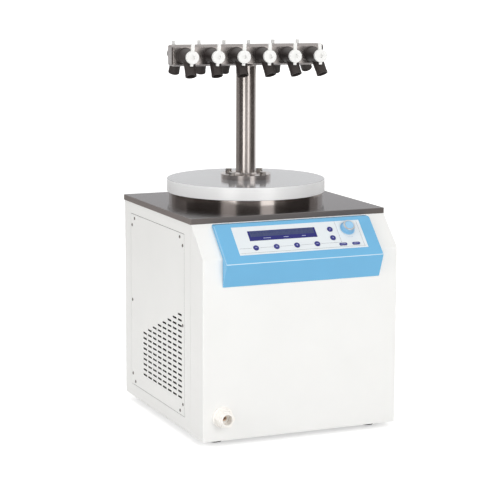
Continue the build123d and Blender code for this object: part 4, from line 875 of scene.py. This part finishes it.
frame_low, frame_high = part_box("cabinet_frame")
head_mesh = screw_mesh()
screws_bm = bmesh.new()
for number, group in enumerate(islands("panel_screws")):
    low, high = span(group)
    middle = (low + high) / 2
    if high.x > frame_high.x:
        seat, normal = Vector((high.x - SCREW_RISE, middle.y, middle.z)), Vector((1, 0, 0))
    elif low.x < frame_low.x:
        seat, normal = Vector((low.x + SCREW_RISE, middle.y, middle.z)), Vector((-1, 0, 0))
    else:
        seat, normal = Vector((middle.x, high.y - SCREW_RISE, middle.z)), Vector((0, 1, 0))
    aim = normal.to_track_quat("Z", "Y").to_matrix().to_4x4()
    # neighbouring screws stop at different angles
    stop = Matrix.Rotation(math.radians(SCREW_STOP_STEP * number % 90), 4, "Z")
    copied = head_mesh.copy()
    copied.transform(Matrix.Translation(seat) @ aim @ stop)
    screws_bm.from_mesh(copied)
    bpy.data.meshes.remove(copied)
screw_heads = from_bmesh("panel_screw_heads", screws_bm, smooth_angle=HEAD_SMOOTH_ANGLE)
piece(screw_heads, screw_steel)
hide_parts("panel_screws")

# ---------------------------------------------------------------- painted shade in the gaps round the panels
SHADE_STRIP_WIDTH = 0.0008
SHADE_STRIP_CLEAR = 0.0001
SHADE_STRIP_SUNK = 0.0004
# near black: painted shade in the gaps round the panels and round the vent slots
shade_strip = coated("shade_strip", (0.06, 0.055, 0.05), 0.6, height=0.0)


def seam_shade_ring(name, low, high, axis, outward):
    """Four dark strips round a panel, in the gap between it and the frame: painted shade.

    axis is the panel's thin one, 0 or 1, and outward is 1 where its outside is the higher face.
    """
    across = 1 - axis
    faces = (low[axis], high[axis])
    outer = faces[outward] - math.copysign(SHADE_STRIP_SUNK, outward - 0.5)
    inner = faces[1 - outward] + math.copysign(SHADE_STRIP_CLEAR, outward - 0.5)
    far, near = SHADE_STRIP_CLEAR + SHADE_STRIP_WIDTH, SHADE_STRIP_CLEAR
    strips = (
        (low[across] - far, low[across] - near, low.z - far, high.z + far),
        (high[across] + near, high[across] + far, low.z - far, high.z + far),
        (low[across] - near, high[across] + near, low.z - far, low.z - near),
        (low[across] - near, high[across] + near, high.z + near, high.z + far),
    )
    bm = bmesh.new()
    for start, end, foot, head in strips:
        ends = [[0, 0, foot], [0, 0, head]]
        ends[0][axis], ends[1][axis] = min(outer, inner), max(outer, inner)
        ends[0][across], ends[1][across] = start, end
        add_box(bm, *ends)
    piece(from_bmesh(name, bm), shade_strip)


seam_shade_ring("left_panel_seam_shade", *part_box("left_panel"), 0, 0)
seam_shade_ring("right_panel_seam_shade", *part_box("right_panel"), 0, 1)
seam_shade_ring("rear_panel_seam_shade", *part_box("rear_panel"), 1, 1)

# ---------------------------------------------------------------- painted shade round the vent slots
RIM_WIDTH = 0.0004
RIM_RISE = 0.00004
SLOT_LEAST_LENGTH = 0.015
LEVEL_NORMAL = 0.9
PLACE_DIGITS = 5


def vent_slots(name):
    """Front, back, foot and head of each punched slot of a side panel."""
    mesh = nodes[name].data
    low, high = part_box(name)
    feet, heads = {}, {}
    for face in mesh.polygons:
        if abs(face.normal.z) < LEVEL_NORMAL:
            continue
        places = [mesh.vertices[index].co for index in face.vertices]
        z = places[0].z
        if z < low.z + SHADE_STRIP_WIDTH or z > high.z - SHADE_STRIP_WIDTH:
            continue
        front, back = (
            round(extreme(place.y for place in places), PLACE_DIGITS) for extreme in (min, max)
        )
        if back - front > SLOT_LEAST_LENGTH:
            levels = feet if face.normal.z > 0 else heads
            levels.setdefault((front, back), set()).add(round(z, PLACE_DIGITS))
    for (front, back), levels in feet.items():
        for foot, head in zip(sorted(levels), sorted(heads.get((front, back), ()))):
            yield front, back, foot, head


for panel_name, face_side in (("left_panel", -1), ("right_panel", 1)):
    panel_low, panel_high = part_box(panel_name)
    face_x = panel_high.x if face_side > 0 else panel_low.x
    near, far = sorted((face_x, face_x + face_side * RIM_RISE))
    rims_bm = bmesh.new()
    for front, back, foot, head in vent_slots(panel_name):
        # dark strips round each slot: painted shade that makes the slot look darker and wider
        strips = (
            (front - RIM_WIDTH, front, foot - RIM_WIDTH, head + RIM_WIDTH),
            (back, back + RIM_WIDTH, foot - RIM_WIDTH, head + RIM_WIDTH),
            (front, back, foot - RIM_WIDTH, foot),
            (front, back, head, head + RIM_WIDTH),
        )
        for start, end, under, over in strips:
            add_box(rims_bm, (near, start, under), (far, end, over))
    if rims_bm.faces:
        piece(from_bmesh(f"{panel_name}_vent_shade_rims", rims_bm), shade_strip)

# ---------------------------------------------------------------- print and display of the console
PRINT_RISE = 0.00003
LINE_WIDTH = 0.0005
KEY_CLEAR = 0.0095
# places on the overlay, to the right of and below its top left corner
ROW_LINE_X = 0.004
SIDE_LINE_X = 0.2385
FOOT_LINE = (0.003, 0.067, 0.292, 0.067)
EDGE_LINE = (0.2895, 0.0025, 0.2895, 0.0685)
overlay_low, overlay_high = local_box("console_overlay", console_matrix)
overlay_left, overlay_top, overlay_face = overlay_low.x, overlay_high.y, overlay_high.z


def printed(name, shapes, face, material):
    """Flat oblongs on the console, each from (left, foot) to (right, head) in its frame."""
    bm = bmesh.new()
    for left, foot, right, head in shapes:
        add_box(bm, (left, foot, face), (right, head, face + PRINT_RISE), console_matrix)
    piece(from_bmesh(name, bm), material)


def oblong(middle_x, middle_y, half_width, half_height):
    """An oblong about its middle, as printed() takes it."""
    return (
        middle_x - half_width,
        middle_y - half_height,
        middle_x + half_width,
        middle_y + half_height,
    )


def line(x0, y0, x1, y1):
    """A printed line between two places, measured from the overlay's top left corner downwards."""
    half = LINE_WIDTH / 2
    return (
        overlay_left + x0 - half,
        overlay_top - y1 - half,
        overlay_left + x1 + half,
        overlay_top - y0 + half,
    )


def key_middle(number):
    """The middle of a round key, measured as the lines are."""
    low, high = local_box(f"round_key_{number}", console_matrix)
    return (low.x + high.x) / 2 - overlay_left, overlay_top - (low.y + high.y) / 2


# one line runs through the row of the first four keys, with gaps for them
row_y = key_middle(1)[1]
lines = []
line_start = ROW_LINE_X
for number in range(1, 5):
    key_x = key_middle(number)[0]
    lines.append(line(line_start, row_y, key_x - KEY_CLEAR, row_y))
    line_start = key_x + KEY_CLEAR
lines += [
    line(line_start, row_y, SIDE_LINE_X, row_y),
    line(SIDE_LINE_X, 0.0, SIDE_LINE_X, row_y),
    line(*FOOT_LINE),
    line(*EDGE_LINE),
]
print_ink = coated("print_ink", (0.2, 0.21, 0.24), 0.5, height=0.0)
printed("overlay_lines", lines, overlay_face, print_ink)

# the window in the display, with faint character cells in rows along the slope
GLASS_LEFT, GLASS_RIGHT, GLASS_TOP, GLASS_HEIGHT = 0.0045, 0.0040, 0.0012, 0.0138
CELL_WIDTH, CELL_HEIGHT, CELL_GAP = 0.0034, 0.0062, 0.0003
CELL_COLORS = {
    "Color1": (0.042, 0.058, 0.155, 1.0),
    "Color2": (0.058, 0.073, 0.17, 1.0),
    "Mortar": (0.07, 0.085, 0.2, 1.0),
}
SLOPE_STRETCH = 1.4142  # the slope's length over its run in y
display_low, display_high = local_box("lcd_module", console_matrix)
lcd_glass, lcd_tree, lcd_shader = new_material(
    "lcd_glass", (0.07, 0.09, 0.2), roughness=0.12, Specular_IOR_Level=0.25
)
cell_place = lcd_tree.nodes.new("ShaderNodeTexCoord")
up_slope = node_in(lcd_tree, "ShaderNodeVectorMath", operation="MULTIPLY")
up_slope.inputs[1].default_value = (1.0, SLOPE_STRETCH, 0.0)
cells = node_in(lcd_tree, "ShaderNodeTexBrick", offset=0.0, squash=1.0, Scale=1.0)
cells.inputs["Brick Width"].default_value = CELL_WIDTH
cells.inputs["Row Height"].default_value = CELL_HEIGHT
cells.inputs["Mortar Size"].default_value = CELL_GAP
for label, color in CELL_COLORS.items():
    cells.inputs[label].default_value = color
lcd_tree.links.new(cell_place.outputs["Object"], up_slope.inputs[0])
lcd_tree.links.new(up_slope.outputs["Vector"], cells.inputs["Vector"])
lcd_tree.links.new(cells.outputs["Color"], lcd_shader.inputs["Base Color"])
glass_head = display_high.y - GLASS_TOP
glass = (
    display_low.x + GLASS_LEFT,
    glass_head - GLASS_HEIGHT,
    display_high.x - GLASS_RIGHT,
    glass_head,
)
printed("lcd_window", [glass], display_high.z, lcd_glass)

# small pale marks in place of the words under the display and under the dial
MARK_DOWN, MARK_HALF_HEIGHT = 0.0195, 0.0007
# each mark's middle, as a share of the display's width, and its own width
DISPLAY_MARKS = ((0.26, 0.017), (0.54, 0.011), (0.805, 0.009))
mark_y = display_high.y - MARK_DOWN
marks = []
for share, width in DISPLAY_MARKS:
    mark_x = display_low.x + share * (display_high.x - display_low.x)
    marks.append(oblong(mark_x, mark_y, width / 2, MARK_HALF_HEIGHT))
mark_ink = coated("mark_ink", (0.42, 0.46, 0.68), 0.5, height=0.0)
printed("display_marks", marks, display_high.z, mark_ink)

TICK_DOWN, TICK_HALF_HEIGHT = 0.0215, 0.0004
TICK_WIDTH, TICK_PITCH, TICK_COUNT = 0.0022, 0.0034, 4
dial_low, dial_high = local_box("dial_knob", console_matrix)
tick_y = (dial_low.y + dial_high.y) / 2 - TICK_DOWN
first_tick_x = (dial_low.x + dial_high.x) / 2 - (TICK_COUNT - 1) * TICK_PITCH / 2
ticks = [
    oblong(first_tick_x + TICK_PITCH * number, tick_y, TICK_WIDTH / 2, TICK_HALF_HEIGHT)
    for number in range(TICK_COUNT)
]
tick_ink = coated("tick_ink", (0.36, 0.45, 0.62), 0.5, height=0.0)
printed("dial_ticks", ticks, overlay_face, tick_ink)


def key_mark(name, *shapes):
    """Flat marks on a key's top: each shape is a list of points from the key's middle, in mm."""
    low, high = local_box(name, console_matrix)
    middle = (low + high) / 2
    bm = bmesh.new()
    for shape in shapes:
        lower, upper = (
            [
                bm.verts.new(console_matrix @ Vector((middle.x + x / 1000, middle.y + y / 1000, z)))
                for x, y in shape
            ]
            for z in (high.z, high.z + PRINT_RISE)
        )
        bm.faces.new(upper)
        bm.faces.new(lower[::-1])
        for index in range(len(shape)):
            after = (index + 1) % len(shape)
            bm.faces.new((lower[index], lower[after], upper[after], upper[index]))
    piece(from_bmesh(f"{name}_mark", bm), mark_ink, body=name)


def bar(half_width, low, high):
    """An oblong mark, centred from left to right."""
    return [(-half_width, low), (half_width, low), (half_width, high), (-half_width, high)]


key_mark("round_key_1", bar(2.6, -0.6, 0.6))
key_mark("round_key_2", bar(2.4, 0.5, 1.3), bar(2.4, -1.3, -0.5))
key_mark("round_key_3", bar(1.5, -1.5, 1.5))
key_mark("round_key_4", bar(2.6, -0.6, 0.6))
key_mark("round_key_5", [(-1.8, -1.0), (1.8, -1.0), (0.0, 1.7)])
key_mark("round_key_6", [(-1.8, 1.0), (0.0, -1.7), (1.8, 1.0)])
key_mark("oblong_key_1", bar(5.0, -0.6, 0.6))
key_mark("oblong_key_2", bar(5.0, -0.6, 0.6))


# ---------------------------------------------------------------- weld bead under the manifold
WELD_RIPPLES = 110
WELD_STEPS = WELD_RIPPLES * 4
WELD_SIDES = 8
WELD_THICKNESS = 0.0016
WELD_SWELL = 0.15
WELD_SMOOTH_ANGLE = 60
TOP_BAND = 0.0005


def weld_bead(name, center, radius, thickness, material):
    """A ring of weld: a torus whose bead swells once per ripple."""
    bm = bmesh.new()
    rings = []
    for count in range(WELD_STEPS):
        angle = 2 * math.pi * count / WELD_STEPS
        bead = thickness * (1 - WELD_SWELL + WELD_SWELL * math.cos(WELD_RIPPLES * angle))
        ring = []
        for side in range(WELD_SIDES):
            tilt = 2 * math.pi * side / WELD_SIDES
            place = circle_point(radius + bead * math.cos(tilt), angle, bead * math.sin(tilt))
            ring.append(bm.verts.new(center + place))
        rings.append(ring)
    for here, there in zip(rings, rings[1:] + rings[:1]):
        for side in range(WELD_SIDES):
            after = (side + 1) % WELD_SIDES
            bm.faces.new((here[side], there[side], there[after], here[after]))
    piece(from_bmesh(name, bm, smooth_angle=WELD_SMOOTH_ANGLE), material)


axis_place = Vector(turning_center)
column_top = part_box("manifold_column")[1].z
top_ring = [
    vertex.co - axis_place
    for vertex in nodes["manifold_column"].data.vertices
    if vertex.co.z > column_top - TOP_BAND
]
tube_radius = max(place.xy.length for place in top_ring)
weld_place = axis_place + Vector((0, 0, column_top))
weld_bead("column_weld", weld_place, tube_radius, WELD_THICKNESS, column_steel)
